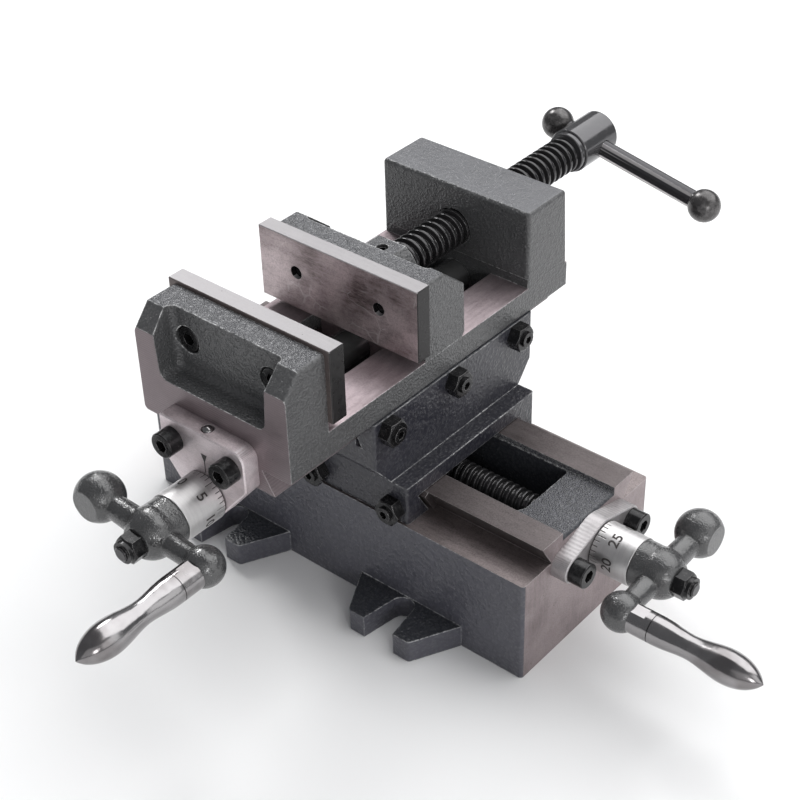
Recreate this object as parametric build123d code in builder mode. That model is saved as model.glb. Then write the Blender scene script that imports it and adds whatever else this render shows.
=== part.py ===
from build123d import *
import math
import os

os.makedirs("parts", exist_ok=True)

# A cross slide vise for a drill press, in millimetres.
# X runs along the base towards the X crank, Y along the jaws' travel towards the
# tommy bar, Z up. The origin is the centre of the base's underside.

# Fits, radial or between faces
running = 0.05
slide_gap = 0.05
seat_gap = 0.3

# Base
base_half_x = 124.5
base_half_y = 52.3
base_flat_z = 59.5
dovetail_angle = math.radians(60)
base_dovetail_height = 13.0
base_dovetail_root = 30.1
channel_half_y = 21.5
channel_half_x = 97.5
channel_floor_z = 38.0
end_patch_depth = 3.0
channel_ledge = 0.6
relief_depth = 3.0

# Clamping ears
ear_centres_x = (-60.0, 55.0)
ear_root_half = 32.5
ear_tip_half = 19.2
ear_tip_y = 77.5
ear_thickness = 13.0
slot_radius = 6.4
slot_mouth_half = 9.5
slot_centre_y = 59.4

# Saddle, at its rest place
saddle_x = -4.4
saddle_lower_half_x = 58.0
saddle_lower_half_y = 51.0
saddle_ledge_z = 81.8
saddle_upper_half_y = 61.7
saddle_flare_z = 94.8
saddle_top_z = 121.5

# Upper dovetail of the vise body in the saddle
body_dovetail_z = 109.0
screw_groove_half = 17.0
screw_groove_z = 88.0
slot_side_room = 1.2
slot_relief_depth = 3.7

# Gibs and their screws
gib_thickness = 3.0
gib_room = 4.3
gib_proud = 2.0
gib_dimple = 0.8
gib_pocket_end = 4.0
gib_screw_pitch_x = 49.0
gib_screw_pitch_y = 50.0
x_gib_screw_z = 66.5
y_gib_screw_z = 114.5
y_gib_screw_centre = -2.0
m8 = 4.0
lock_nut_flats = 13.0
lock_nut_height = 6.5
gib_screw_proud = 1.6
gib_point_r = 2.4

# Cap screws
cap_head_r = 6.5
cap_head_h = 8.0
cap_socket_flats = 6.0

# Lead screws, bearing plates, dials
lead_r = 8.0
journal_r = 6.0
hub_journal_r = 5.0
thrust_r = 11.0
x_screw_z = 55.7
y_screw_z = 98.5
x_plate_thick = 9.0
y_plate_thick = 9.2
plate_screw_x_plate = 23.3
plate_screw_y_plate = 18.3
plate_screw_y_z = 122.6
y_plate_half = 26.8
y_plate_rise = 35.0
oil_ball_r = 3.2
oil_ball_y = 3.9
dial_r = 12.75
dial_length = 21.4
y_dial_length = 22.7
dial_gap = 0.2

# Ball cranks
crank_big_reach = 34.6
crank_small_reach = 32.5
crank_big_r = 12.3
crank_small_r = 9.9
crank_hub_r = 12.9
crank_hub_back = 11.1
crank_hub_front = 10.0
x_crank_tilt = 1.9
y_crank_tilt = 4.8
nut_flats = 13.0
grip_r = 7.25
ferrule_start = 6.7
ferrule_end = 17.6
grip_start = 18.0
grip_tip = 75.0
spindle_r = 3.0
spindle_length = 42.0

# Vise body
body_x = saddle_x
body_half_x = 47.0
body_front_y = -117.0
body_rear_y = 92.5
ways_z = 135.8
ways_channel_half = 23.0
ways_channel_z = 114.0
jaw_top_z = 178.3
fixed_jaw_back_y = -91.0
fixed_web_y = -103.7
rear_block_y = 58.5
recess_floor_z = 144.8

# Jaw plates
plate_half_x = 50.0
plate_bottom_z = 141.0
plate_thick_fixed = 9.5
plate_thick_moving = 9.0
plate_screw_x = 26.15

# Movable jaw at its rest place
jaw_front_y = -22.0
jaw_web_y = -9.5
jaw_rear_y = 8.5
jaw_boss_rear_y = 10.3
jaw_boss_r = 16.5
jaw_foot_z = 147.0
jaw_rib = 8.1

# Guide rod, vise screw and tommy bar
rod_r = 9.5
rod_z = 125.5
rod_front_y = -101.0
rod_rear_y = 88.0
vise_screw_r = 10.0
vise_nose_r = 7.0
vise_head_y = 159.0
vise_head_end_y = 188.0
vise_head_r = 12.3
bar_y = 176.3
bar_r = 5.0
bar_tilt = 10.8
bar_ball_r = 9.0
bar_length = 98.5

# Sizes worked out from the ones above
slope = 1.0 / math.tan(dovetail_angle)
base_top_z = base_flat_z + base_dovetail_height
gib_width = gib_thickness / math.sin(dovetail_angle)
gib_space = gib_room / math.sin(dovetail_angle)
slot_side = slot_side_room / math.sin(dovetail_angle)
body_dovetail_half = body_half_x - 11.0
saddle_upper_half_x = body_half_x + 1.0
x_gib_face = base_dovetail_root + slide_gap + (x_gib_screw_z - base_flat_z) * slope + gib_width
y_gib_face = body_dovetail_half + slide_gap - (y_gib_screw_z - body_dovetail_z) * slope + gib_width
plate_top_z = jaw_top_z + 2.2
plate_screw_z = (plate_bottom_z + plate_top_z) / 2 + 1.25
vise_screw_z = ways_z + (jaw_top_z - ways_z) * 8 / 17
rear_block_z = jaw_top_z + 0.7
jaw_boss_top_z = vise_screw_z + 14.2
recess_half_top = body_half_x - 11.4
recess_half_floor = body_half_x - 14.0
x_plate_face = base_half_x + x_plate_thick
y_plate_face = body_front_y - y_plate_thick
x_dial_start = x_plate_face + dial_gap
x_dial_end = x_dial_start + dial_length
y_dial_start = y_plate_face - dial_gap
y_dial_end = y_dial_start - y_dial_length
x_hub = x_dial_end + crank_hub_back
y_hub = y_dial_end - crank_hub_back
ceiling_z = base_top_z + 0.5
slot_floor_z = body_dovetail_z - seat_gap
body_neck = body_dovetail_half - (saddle_top_z - body_dovetail_z) * slope
AXIS_UP = (Align.CENTER, Align.CENTER, Align.MIN)


def write(piece, label):
    """Labels a finished sub-part and writes it as its own STEP file."""
    piece.part.label = label
    export_step(piece.part, f"parts/{label}.step")


def along_x(y, z):
    """A plane across the X direction, with its normal along +X."""
    return Plane(origin=(0, y, z), x_dir=(0, 1, 0), z_dir=(1, 0, 0))


def along_minus_y(x, z):
    """A plane across the Y direction, with its normal along -Y, towards the Y crank."""
    return Plane(origin=(x, 0, z), x_dir=(1, 0, 0), z_dir=(0, -1, 0))


def shaft(plane, sections):
    """A turned shaft along a plane's normal: each section is a start, an end and a radius."""
    with BuildPart(plane) as piece:
        for start, end, radius in sections:
            with Locations((0, 0, start)):
                Cylinder(radius, end - start, align=AXIS_UP)
    return piece


def cap_screw(plane, length, radius=m8, head_r=cap_head_r, head_h=cap_head_h, flats=cap_socket_flats):
    """A socket cap screw whose head stands on the plane, with its shank below it."""
    with BuildPart(plane) as piece:
        Cylinder(head_r, head_h, align=AXIS_UP)
        chamfer(piece.edges().group_by(Axis(plane.origin, plane.z_dir))[-1], head_h * 0.06)
        with BuildSketch(plane.offset(head_h)):
            RegularPolygon(flats / 2, 6, major_radius=False)
        extrude(amount=-head_h / 2, mode=Mode.SUBTRACT)
        with Locations((0, 0, -length)):
            Cylinder(radius, length, align=AXIS_UP)
    return piece


def hex_nut(plane, flats, height, bore, collar=0.0):
    """A hexagon nut standing on the plane, with a round collar on top if one is given."""
    with BuildPart(plane) as piece:
        with BuildSketch(plane):
            RegularPolygon(flats / 2, 6, major_radius=False)
        extrude(amount=height)
        Cone(flats * 0.47 + height * 1.73, flats * 0.47, height, align=AXIS_UP, mode=Mode.INTERSECT)
        if collar:
            with Locations((0, 0, height)):
                Cylinder(flats * 0.43, collar, align=AXIS_UP)
        Hole(bore, depth=2 * (height + collar) + 2)
    return piece


def gib_screw(plane, inner_length, point_length):
    """A set screw along the plane's normal: its outer end stands past the lock nut."""
    outer = lock_nut_height + gib_screw_proud
    with BuildPart(plane) as piece:
        with Locations((0, 0, -inner_length)):
            Cylinder(m8, inner_length + outer, align=AXIS_UP)
        with Locations((0, 0, -inner_length - point_length)):
            Cylinder(gib_point_r, point_length, align=AXIS_UP)
        with BuildSketch(plane.offset(outer)):
            RegularPolygon(2.0, 6, major_radius=False)
        extrude(amount=-4.0, mode=Mode.SUBTRACT)
    return piece


def ball_crank(plane):
    """A two-ball crank: its shaft runs along the plane's normal, its big ball along local +X."""
    with BuildPart(plane) as piece:
        Sphere(crank_hub_r)
        with Locations((0, 0, -crank_hub_back)):
            Cylinder(dial_r - 0.3, crank_hub_back - 1, align=AXIS_UP)
        Cone(6.8, 5.9, crank_big_reach, rotation=(0, 90, 0), align=AXIS_UP)
        Cone(6.3, 5.2, crank_small_reach, rotation=(0, -90, 0), align=AXIS_UP)
        with Locations((crank_big_reach, 0, 0)):
            Sphere(crank_big_r)
        with Locations((-crank_small_reach, 0, 0)):
            Sphere(crank_small_r)
        with Locations((0, 0, -crank_hub_back)):
            Box(40, 40, 20, align=(Align.CENTER, Align.CENTER, Align.MAX), mode=Mode.SUBTRACT)
        with Locations((0, 0, crank_hub_front)):
            Box(30, 30, 20, align=AXIS_UP, mode=Mode.SUBTRACT)
        with Locations((crank_big_reach, 0, crank_big_r * 0.76)):
            Box(30, 30, 20, align=AXIS_UP, mode=Mode.SUBTRACT)
        with Locations((-crank_small_reach, 0, ferrule_start)):
            Box(24, 24, 20, align=AXIS_UP, mode=Mode.SUBTRACT)
        Hole(hub_journal_r + running, depth=60)
        with Locations((-crank_small_reach, 0, ferrule_start)):
            Hole(m8 + running, depth=10.5)
    return piece


def grip_stud(plane):
    """The fixed ferrule with two flats, its thread into the ball and the spindle in the grip."""
    with BuildPart(plane) as piece:
        with Locations((0, 0, ferrule_start)):
            Cylinder(grip_r, ferrule_end - ferrule_start, align=AXIS_UP)
        with BuildSketch(plane.offset(ferrule_start)):
            with Locations((0, grip_r + 3.3), (0, -grip_r - 3.3)):
                Rectangle(30, 8)
        extrude(amount=(ferrule_end - ferrule_start) * 0.68, mode=Mode.SUBTRACT)
        with Locations((0, 0, ferrule_start - 10)):
            Cylinder(m8, 11, align=AXIS_UP)
        with Locations((0, 0, ferrule_end - 1)):
            Cylinder(spindle_r, spindle_length + 1, align=AXIS_UP)
    return piece


def grip(plane):
    """The turning grip: a waisted, pointed handle, bored for its spindle."""
    side = Plane(origin=plane.origin, x_dir=plane.x_dir, z_dir=plane.y_dir)
    with BuildPart() as piece:
        with BuildSketch(side):
            with BuildLine():
                outline = Spline(
                    (grip_r, -grip_start),
                    (6.9, -26),
                    (5.85, -37.5),
                    (8.3, -56),
                    (4.9, -70),
                    (0, -grip_tip),
                )
                Polyline((0, -grip_tip), (0, -grip_start), (grip_r, -grip_start))
            make_face()
        revolve(axis=Axis(plane.origin, plane.z_dir))
        with Locations(plane.offset(grip_start)):
            Cylinder(spindle_r + running, spindle_length + 3, align=AXIS_UP, mode=Mode.SUBTRACT)
    return piece


# Base casting: block, male dovetail, screw channel, four slotted ears
with BuildPart() as base_casting:
    with BuildSketch(Plane.XY):
        Rectangle(2 * base_half_x, 2 * base_half_y)
    extrude(amount=base_flat_z)
    fillet(base_casting.edges().filter_by(Axis.Z), 2.0)
    with BuildSketch(Plane.YZ.offset(-base_half_x)):
        top_half = base_dovetail_root + base_dovetail_height * slope
        Polygon(
            (-base_dovetail_root, base_flat_z),
            (base_dovetail_root, base_flat_z),
            (top_half, base_top_z),
            (-top_half, base_top_z),
            align=None,
        )
    extrude(amount=2 * base_half_x)
    # The cast level between the two machined strips, with the deep channel in it
    patch_z = base_top_z - end_patch_depth
    with BuildSketch(Plane.XY.offset(patch_z)):
        Rectangle(2 * base_half_x + 2, 2 * channel_half_y)
    extrude(amount=2 * end_patch_depth, mode=Mode.SUBTRACT)
    with BuildSketch(Plane.XY.offset(channel_floor_z)) as channel:
        Rectangle(2 * channel_half_x, 2 * (channel_half_y - channel_ledge))
        fillet(channel.vertices().group_by(Axis.Y)[0], 8.0)
        fillet(channel.vertices().group_by(Axis.Y)[-1], 2.0)
    extrude(amount=base_top_z - channel_floor_z, mode=Mode.SUBTRACT)
    patch_edges = base_casting.edges().filter_by(Axis.Y)
    patch_edges = patch_edges.filter_by_position(Axis.Z, patch_z - 0.1, patch_z + 0.1)
    fillet(patch_edges.group_by(Axis.X)[0] + patch_edges.group_by(Axis.X)[-1], 2.0)
    # Four ears, each with an open slot
    with BuildSketch(Plane.XY):
        for centre in ear_centres_x:
            for side in (-1, 1):
                with BuildLine():
                    inner = side * (base_half_y - 3)
                    outer = side * ear_tip_y
                    FilletPolyline(
                        (centre - ear_root_half, inner),
                        (centre - ear_root_half, side * base_half_y),
                        (centre - ear_tip_half, outer),
                        (centre + ear_tip_half, outer),
                        (centre + ear_root_half, side * base_half_y),
                        (centre + ear_root_half, inner),
                        radius=2.5,
                    )
                    Line((centre - ear_root_half, inner), (centre + ear_root_half, inner))
                make_face()
    extrude(amount=ear_thickness)
    with BuildSketch(Plane.XY):
        for centre in ear_centres_x:
            for side in (-1, 1):
                with Locations((centre, side * slot_centre_y)):
                    Circle(slot_radius)
                Polygon(
                    (centre - slot_radius, side * slot_centre_y),
                    (centre + slot_radius, side * slot_centre_y),
                    (centre + slot_mouth_half, side * (ear_tip_y + 1)),
                    (centre - slot_mouth_half, side * (ear_tip_y + 1)),
                    align=None,
                )
    extrude(amount=ear_thickness + 1, mode=Mode.SUBTRACT)
    with BuildSketch(Plane.XY):
        with Locations((0.25 - base_half_x / 2, 0), (base_half_x / 2 - 0.25, 0)):
            RectangleRounded(base_half_x - 34.5, 2 * base_half_y - 26.6, 8)
    extrude(amount=relief_depth, mode=Mode.SUBTRACT)
    with Locations(along_x(0, x_screw_z)):
        with Locations((0, 0, channel_half_x - 5)):
            Cylinder(lead_r + running, base_half_x - channel_half_x + 6, align=AXIS_UP, mode=Mode.SUBTRACT)
        with Locations((0, 0, base_half_x - 5.5)):
            Cylinder(thrust_r + 0.3, 6, align=AXIS_UP, mode=Mode.SUBTRACT)
        with Locations((0, 0, -channel_half_x - 16)):
            Cylinder(journal_r + running, 20, align=AXIS_UP, mode=Mode.SUBTRACT)
        for side in (-1, 1):
            with Locations((side * plate_screw_x_plate, 0, base_half_x - 16)):
                Cylinder(m8 + running, 17, align=AXIS_UP, mode=Mode.SUBTRACT)
write(base_casting, "base_casting")

# X bearing plate: a rhombic plate on the base's end, with two screw bosses
with BuildPart() as x_bearing_plate:
    with BuildSketch(along_x(0, x_screw_z).offset(base_half_x)):
        Circle(14.0)
        with Locations((plate_screw_x_plate, 0), (-plate_screw_x_plate, 0)):
            Circle(7.5)
        make_hull()
        Circle(journal_r + running, mode=Mode.SUBTRACT)
        with Locations((plate_screw_x_plate, 0), (-plate_screw_x_plate, 0)):
            Circle(m8 + 0.3, mode=Mode.SUBTRACT)
    extrude(amount=x_plate_thick)
    chamfer(x_bearing_plate.faces().sort_by(Axis.X)[-1].outer_wire().edges(), 0.6)
write(x_bearing_plate, "x_bearing_plate")

for label, y in (("x_plate_screw_front", -plate_screw_x_plate), ("x_plate_screw_rear", plate_screw_x_plate)):
    screw = cap_screw(along_x(y, x_screw_z).offset(x_plate_face), x_plate_thick + 14)
    write(screw, label)

# X lead screw, turned by its crank, with a thrust collar in the base's end
x_leadscrew = shaft(
    along_x(0, x_screw_z),
    (
        (-112.0, -channel_half_x + 0.5, journal_r),
        (-channel_half_x + 0.5, base_half_x - 5.5, lead_r),
        (base_half_x - 5.3, base_half_x - 0.2, thrust_r),
        (base_half_x - 5.6, x_dial_end, journal_r),
        (x_dial_end, x_hub + crank_hub_front - 0.5, hub_journal_r),
        (x_hub + crank_hub_front - 0.5, x_hub + 20.0, m8),
    ),
)
write(x_leadscrew, "x_leadscrew")

with BuildPart(along_x(0, x_screw_z)) as x_dial:
    with Locations((0, 0, x_dial_start)):
        Cylinder(dial_r, dial_length, align=AXIS_UP)
        Cylinder(journal_r + running, dial_length, align=AXIS_UP, mode=Mode.SUBTRACT)
    chamfer(x_dial.edges().group_by(Axis.X)[0].sort_by(SortBy.LENGTH)[-1], 0.6)
write(x_dial, "x_dial")

tilt = math.radians(x_crank_tilt)
x_crank_plane = Plane(
    origin=(x_hub, 0, x_screw_z), x_dir=(0, math.cos(tilt), math.sin(tilt)), z_dir=(1, 0, 0)
)
x_crank = ball_crank(x_crank_plane)
write(x_crank, "x_crank")
x_crank_nut = hex_nut(x_crank_plane.offset(crank_hub_front), nut_flats, 6.5, m8 + running, 2.0)
write(x_crank_nut, "x_crank_nut")
x_grip_plane = x_crank_plane.shift_origin(x_crank_plane.from_local_coords((-crank_small_reach, 0, 0)))
x_grip_stud = grip_stud(x_grip_plane)
write(x_grip_stud, "x_grip_stud")
x_grip = grip(x_grip_plane)
write(x_grip, "x_grip")

# Saddle: two dovetail ways at right angles, flared between them
with BuildPart() as saddle_casting:
    with BuildSketch(Plane.XY.offset(base_flat_z)):
        with Locations((saddle_x, 0)):
            Rectangle(2 * saddle_lower_half_x, 2 * saddle_lower_half_y)
    extrude(amount=saddle_ledge_z - base_flat_z)
    with BuildSketch(Plane.YZ.offset(saddle_x - saddle_upper_half_x)):
        Polygon(
            (-saddle_lower_half_y, saddle_ledge_z - 1),
            (-saddle_lower_half_y, saddle_ledge_z),
            (-saddle_upper_half_y, saddle_flare_z),
            (-saddle_upper_half_y, saddle_top_z),
            (saddle_upper_half_y, saddle_top_z),
            (saddle_upper_half_y, saddle_flare_z),
            (saddle_lower_half_y, saddle_ledge_z),
            (saddle_lower_half_y, saddle_ledge_z - 1),
            align=None,
        )
    extrude(amount=2 * saddle_upper_half_x)
    fillet(saddle_casting.edges().filter_by(Axis.Z), 1.5)
    # Lower slot, along X, with room for its gib on the -Y side
    with BuildSketch(Plane.YZ.offset(saddle_x - saddle_lower_half_x - 10)):
        root = base_dovetail_root + slide_gap
        top = root + (ceiling_z - base_flat_z) * slope
        Polygon(
            (-root - gib_space, base_flat_z),
            (root, base_flat_z),
            (top, ceiling_z),
            (-top - gib_space, ceiling_z),
            align=None,
        )
    extrude(amount=2 * saddle_lower_half_x + 20, mode=Mode.SUBTRACT)
    # Upper slot, along Y, with a relief under its +X flank
    floor_half = body_dovetail_half + seat_gap * slope + slide_gap
    neck = body_neck + slide_gap
    with BuildSketch(Plane.XZ.offset(-saddle_upper_half_y - 10)):
        Polygon(
            (saddle_x - neck, saddle_top_z),
            (saddle_x + neck + slot_side, saddle_top_z),
            (saddle_x + floor_half + slot_side, slot_floor_z),
            (saddle_x - floor_half, slot_floor_z),
            align=None,
        )
        Polygon(
            (saddle_x + floor_half - 0.3, slot_floor_z + 0.1),
            (saddle_x + floor_half + slot_side - 0.1 * slope, slot_floor_z + 0.1),
            (saddle_x + floor_half + slot_side + slot_relief_depth * slope, slot_floor_z - slot_relief_depth),
            (saddle_x + floor_half - 0.3, slot_floor_z - slot_relief_depth),
            align=None,
        )
        with Locations((saddle_x, (slot_floor_z + screw_groove_z) / 2 + 0.5)):
            Rectangle(2 * screw_groove_half, slot_floor_z - screw_groove_z + 1)
    extrude(amount=2 * saddle_upper_half_y + 20, mode=Mode.SUBTRACT)
    # Pocket for the upper gib, closed at both ends
    gib_pocket_half = saddle_upper_half_y - gib_pocket_end
    with BuildSketch(Plane.XZ.offset(-gib_pocket_half)):
        Polygon(
            (saddle_x + neck, saddle_top_z),
            (saddle_x + neck + gib_space, saddle_top_z),
            (saddle_x + floor_half + gib_space, slot_floor_z),
            (saddle_x + floor_half, slot_floor_z),
            align=None,
        )
    extrude(amount=2 * gib_pocket_half, mode=Mode.SUBTRACT)
    # Tapped holes for the gib screws and the two feed nuts
    for step in (-1, 0, 1):
        x_hole = along_minus_y(saddle_x + step * gib_screw_pitch_x, x_gib_screw_z).offset(x_gib_face - 2)
        with Locations(x_hole):
            Cylinder(m8 + running, saddle_lower_half_y - x_gib_face + 4, align=AXIS_UP, mode=Mode.SUBTRACT)
        y_hole = along_x(y_gib_screw_centre + step * gib_screw_pitch_y, y_gib_screw_z)
        with Locations(y_hole.offset(saddle_x + y_gib_face - 2)):
            Cylinder(m8 + running, saddle_upper_half_x - y_gib_face + 4, align=AXIS_UP, mode=Mode.SUBTRACT)
    with Locations((saddle_x, 12, ceiling_z), (saddle_x, -12, ceiling_z)):
        Cylinder(2.5 + running, 20, mode=Mode.SUBTRACT)
    with Locations((saddle_x + 12, 0, screw_groove_z), (saddle_x - 12, 0, screw_groove_z)):
        Cylinder(2.5 + running, 20, mode=Mode.SUBTRACT)
write(saddle_casting, "saddle_casting")

# Gibs: flat bars that lean on each male dovetail, with a dimple for each screw's point
gib_lean = gib_thickness * math.sin(dovetail_angle)
gib_drop = gib_thickness * math.cos(dovetail_angle)
with BuildPart() as x_gib:
    with BuildSketch(Plane.YZ.offset(saddle_x - saddle_lower_half_x - gib_proud)):
        low_z = base_flat_z + seat_gap + gib_drop
        low = base_dovetail_root + slide_gap + (low_z - base_flat_z) * slope
        high = base_dovetail_root + slide_gap + base_dovetail_height * slope
        Polygon(
            (-low, low_z),
            (-high, base_top_z),
            (-high - gib_lean, base_top_z - gib_drop),
            (-low - gib_lean, low_z - gib_drop),
            align=None,
        )
    extrude(amount=2 * (saddle_lower_half_x + gib_proud))
    for step in (-1, 0, 1):
        dimple = along_minus_y(saddle_x + step * gib_screw_pitch_x, x_gib_screw_z)
        with Locations(dimple.offset(x_gib_face - gib_dimple)):
            Cylinder(gib_point_r + running, 2 * gib_thickness, align=AXIS_UP, mode=Mode.SUBTRACT)
write(x_gib, "x_gib")

with BuildPart() as y_gib:
    y_gib_half = gib_pocket_half - seat_gap
    with BuildSketch(Plane.XZ.offset(-y_gib_half)):
        low_z = body_dovetail_z + seat_gap
        high_z = saddle_top_z - seat_gap - gib_drop
        low = saddle_x + body_dovetail_half + slide_gap - (low_z - body_dovetail_z) * slope
        high = saddle_x + body_dovetail_half + slide_gap - (high_z - body_dovetail_z) * slope
        Polygon(
            (low, low_z),
            (high, high_z),
            (high + gib_lean, high_z + gib_drop),
            (low + gib_lean, low_z + gib_drop),
            align=None,
        )
    extrude(amount=2 * y_gib_half)
    for step in (-1, 0, 1):
        dimple = along_x(y_gib_screw_centre + step * gib_screw_pitch_y, y_gib_screw_z)
        with Locations(dimple.offset(saddle_x + y_gib_face - gib_dimple)):
            Cylinder(gib_point_r + running, 2 * gib_thickness, align=AXIS_UP, mode=Mode.SUBTRACT)
write(y_gib, "y_gib")

# Gib adjusting screws with their lock nuts, three to each slide
shank_gap = m8 * slope + 0.35
for step in (-1, 0, 1):
    number = step + 2
    face = along_minus_y(saddle_x + step * gib_screw_pitch_x, x_gib_screw_z).offset(saddle_lower_half_y)
    shank = saddle_lower_half_y - x_gib_face - shank_gap
    write(gib_screw(face, shank, shank_gap + gib_dimple), f"x_gib_screw_{number}")
    write(hex_nut(face, lock_nut_flats, lock_nut_height, m8 + running), f"x_gib_nut_{number}")
    shank = saddle_upper_half_x - y_gib_face - shank_gap
    face = along_x(y_gib_screw_centre + step * gib_screw_pitch_y, y_gib_screw_z)
    face = face.offset(saddle_x + saddle_upper_half_x)
    write(gib_screw(face, shank, shank_gap + gib_dimple), f"y_gib_screw_{number}")
    write(hex_nut(face, lock_nut_flats, lock_nut_height, m8 + running), f"y_gib_nut_{number}")

# Feed nuts: bronze blocks bolted to the saddle, one for each lead screw
with BuildPart() as x_feed_nut:
    with BuildSketch(Plane.XY.offset(44)):
        with Locations((saddle_x, 0)):
            Rectangle(24, 33)
    extrude(amount=ceiling_z - 44)
    with Locations(along_x(0, x_screw_z)):
        Cylinder(lead_r + running, 80, mode=Mode.SUBTRACT)
    with Locations((saddle_x, 12, 44), (saddle_x, -12, 44)):
        Cylinder(2.5 + running, 80, mode=Mode.SUBTRACT)
        Cylinder(4.5, 10.4, mode=Mode.SUBTRACT)
write(x_feed_nut, "x_feed_nut")

with BuildPart() as y_feed_nut:
    with BuildSketch(Plane.XY.offset(screw_groove_z)):
        with Locations((saddle_x, 0)):
            Rectangle(33, 24)
    extrude(amount=20)
    with Locations(along_minus_y(saddle_x, y_screw_z)):
        Cylinder(lead_r + running, 80, mode=Mode.SUBTRACT)
    with Locations((saddle_x + 12, 0, screw_groove_z + 20), (saddle_x - 12, 0, screw_groove_z + 20)):
        Cylinder(2.5 + running, 80, mode=Mode.SUBTRACT)
        Cylinder(4.5, 10.4, mode=Mode.SUBTRACT)
write(y_feed_nut, "y_feed_nut")

small = {"radius": 2.5, "head_r": 4.25, "head_h": 5.0, "flats": 4.0}
for label, place, up in (
    ("x_nut_screw_front", (saddle_x, -12, 49.2), -1),
    ("x_nut_screw_rear", (saddle_x, 12, 49.2), -1),
    ("y_nut_screw_left", (saddle_x - 12, 0, screw_groove_z + 14.8), 1),
    ("y_nut_screw_right", (saddle_x + 12, 0, screw_groove_z + 14.8), 1),
):
    length = ceiling_z + 8 - 49.2 if up < 0 else 14.8 + 8
    seat = Plane(origin=place, x_dir=(1, 0, 0), z_dir=(0, 0, up))
    write(cap_screw(seat, length, **small), label)

# Vise body: male dovetail, ways, fixed jaw and screw block in one casting
with BuildPart() as vise_body_casting:
    with BuildSketch(Plane.XZ.offset(-body_rear_y)):
        Polygon(
            (body_x - body_dovetail_half, body_dovetail_z),
            (body_x + body_dovetail_half, body_dovetail_z),
            (body_x + body_neck, saddle_top_z),
            (body_x - body_neck, saddle_top_z),
            align=None,
        )
        with Locations((body_x, (saddle_top_z + ways_z) / 2)):
            Rectangle(2 * body_half_x, ways_z - saddle_top_z)
    extrude(amount=body_rear_y - body_front_y)
    with BuildSketch(Plane.YZ.offset(body_x - body_half_x)):
        Polygon(
            (rear_block_y, ways_z - 1),
            (rear_block_y, rear_block_z),
            (body_rear_y - 2.5, rear_block_z),
            (body_rear_y, ways_z - 1),
            align=None,
        )
        Polygon(
            (body_front_y, ways_z - 1),
            (body_front_y, jaw_top_z - 10.5),
            (body_front_y + 9.0, jaw_top_z),
            (fixed_jaw_back_y, jaw_top_z),
            (fixed_jaw_back_y, ways_z - 1),
            align=None,
        )
    extrude(amount=2 * body_half_x)
    fillet(vise_body_casting.edges().filter_by(Axis.X).group_by(Axis.Z)[-1], 2.2)
    uprights = vise_body_casting.edges().filter_by(Axis.Z)
    fillet(uprights.filter_by_position(Axis.Y, rear_block_y - 0.1, rear_block_y + 0.1), 2.0)
    jaw_ends = vise_body_casting.edges().filter_by_position(Axis.Y, body_front_y + 1, fixed_jaw_back_y - 1)
    jaw_ends = jaw_ends.filter_by_position(Axis.Z, jaw_top_z - 8, jaw_top_z + 1)
    fillet(jaw_ends.group_by(Axis.X)[0] + jaw_ends.group_by(Axis.X)[-1], 2.0)
    under_edges = vise_body_casting.edges().filter_by(Axis.Y)
    under_edges = under_edges.filter_by_position(Axis.Z, saddle_top_z - 0.1, saddle_top_z + 0.1)
    fillet(under_edges.group_by(Axis.X)[0], 2.5)
    fillet(under_edges.group_by(Axis.X)[-1], 1.0)
    with BuildSketch(Plane.XZ.offset(-rear_block_y - 0.8)):
        with Locations((body_x, ways_z + 2.75)):
            Rectangle(2 * body_half_x + 2, 5.5)
    extrude(amount=5, mode=Mode.SUBTRACT)
    # Screw channel between the ways
    with BuildSketch(Plane.XY.offset(ways_channel_z)):
        with Locations((body_x, (fixed_jaw_back_y + rear_block_y + 0.8) / 2)):
            Rectangle(2 * ways_channel_half, rear_block_y + 0.8 - fixed_jaw_back_y)
    extrude(amount=ways_z - ways_channel_z, mode=Mode.SUBTRACT)
    # Recess in the fixed jaw, open to the front and the top
    with BuildSketch(Plane.XZ.offset(-body_front_y)):
        with BuildLine():
            FilletPolyline(
                (body_x - recess_half_top, jaw_top_z + 3),
                (body_x - recess_half_floor, recess_floor_z),
                (body_x + recess_half_floor, recess_floor_z),
                (body_x + recess_half_top, jaw_top_z + 3),
                radius=5.0,
            )
            Line((body_x - recess_half_top, jaw_top_z + 3), (body_x + recess_half_top, jaw_top_z + 3))
        make_face()
    extrude(amount=body_front_y - fixed_web_y, mode=Mode.SUBTRACT)
    web = vise_body_casting.faces().filter_by(Axis.Y)
    web = web.filter_by_position(Axis.Y, fixed_web_y - 0.1, fixed_web_y + 0.1)
    fillet(web.edges().group_by(Axis.Z)[0], 3.5)
    # Bores: jaw plate screws, vise screw, guide rod, bearing plate screws
    for step in (-1, 1):
        with Locations(along_minus_y(body_x + step * plate_screw_x, plate_screw_z)):
            Cylinder(m8 + 0.3, 2 * -fixed_web_y, mode=Mode.SUBTRACT, align=AXIS_UP)
            with Locations((0, 0, -fixed_web_y - 8.2)):
                Cylinder(cap_head_r + 0.65, 12, mode=Mode.SUBTRACT, align=AXIS_UP)
        with Locations(along_minus_y(body_x + step * plate_screw_y_plate, plate_screw_y_z)):
            with Locations((0, 0, -body_front_y - 15)):
                Cylinder(m8 + running, 20, mode=Mode.SUBTRACT, align=AXIS_UP)
    with Locations(along_minus_y(body_x, vise_screw_z)):
        with Locations((0, 0, -body_rear_y - 5)):
            Cylinder(vise_screw_r + running, 50, mode=Mode.SUBTRACT, align=AXIS_UP)
    with Locations(along_minus_y(body_x, rod_z)):
        with Locations((0, 0, -body_rear_y - 5)):
            Cylinder(rod_r + running, body_rear_y + 5 - rod_front_y, mode=Mode.SUBTRACT, align=AXIS_UP)
write(vise_body_casting, "vise_body_casting")

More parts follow.
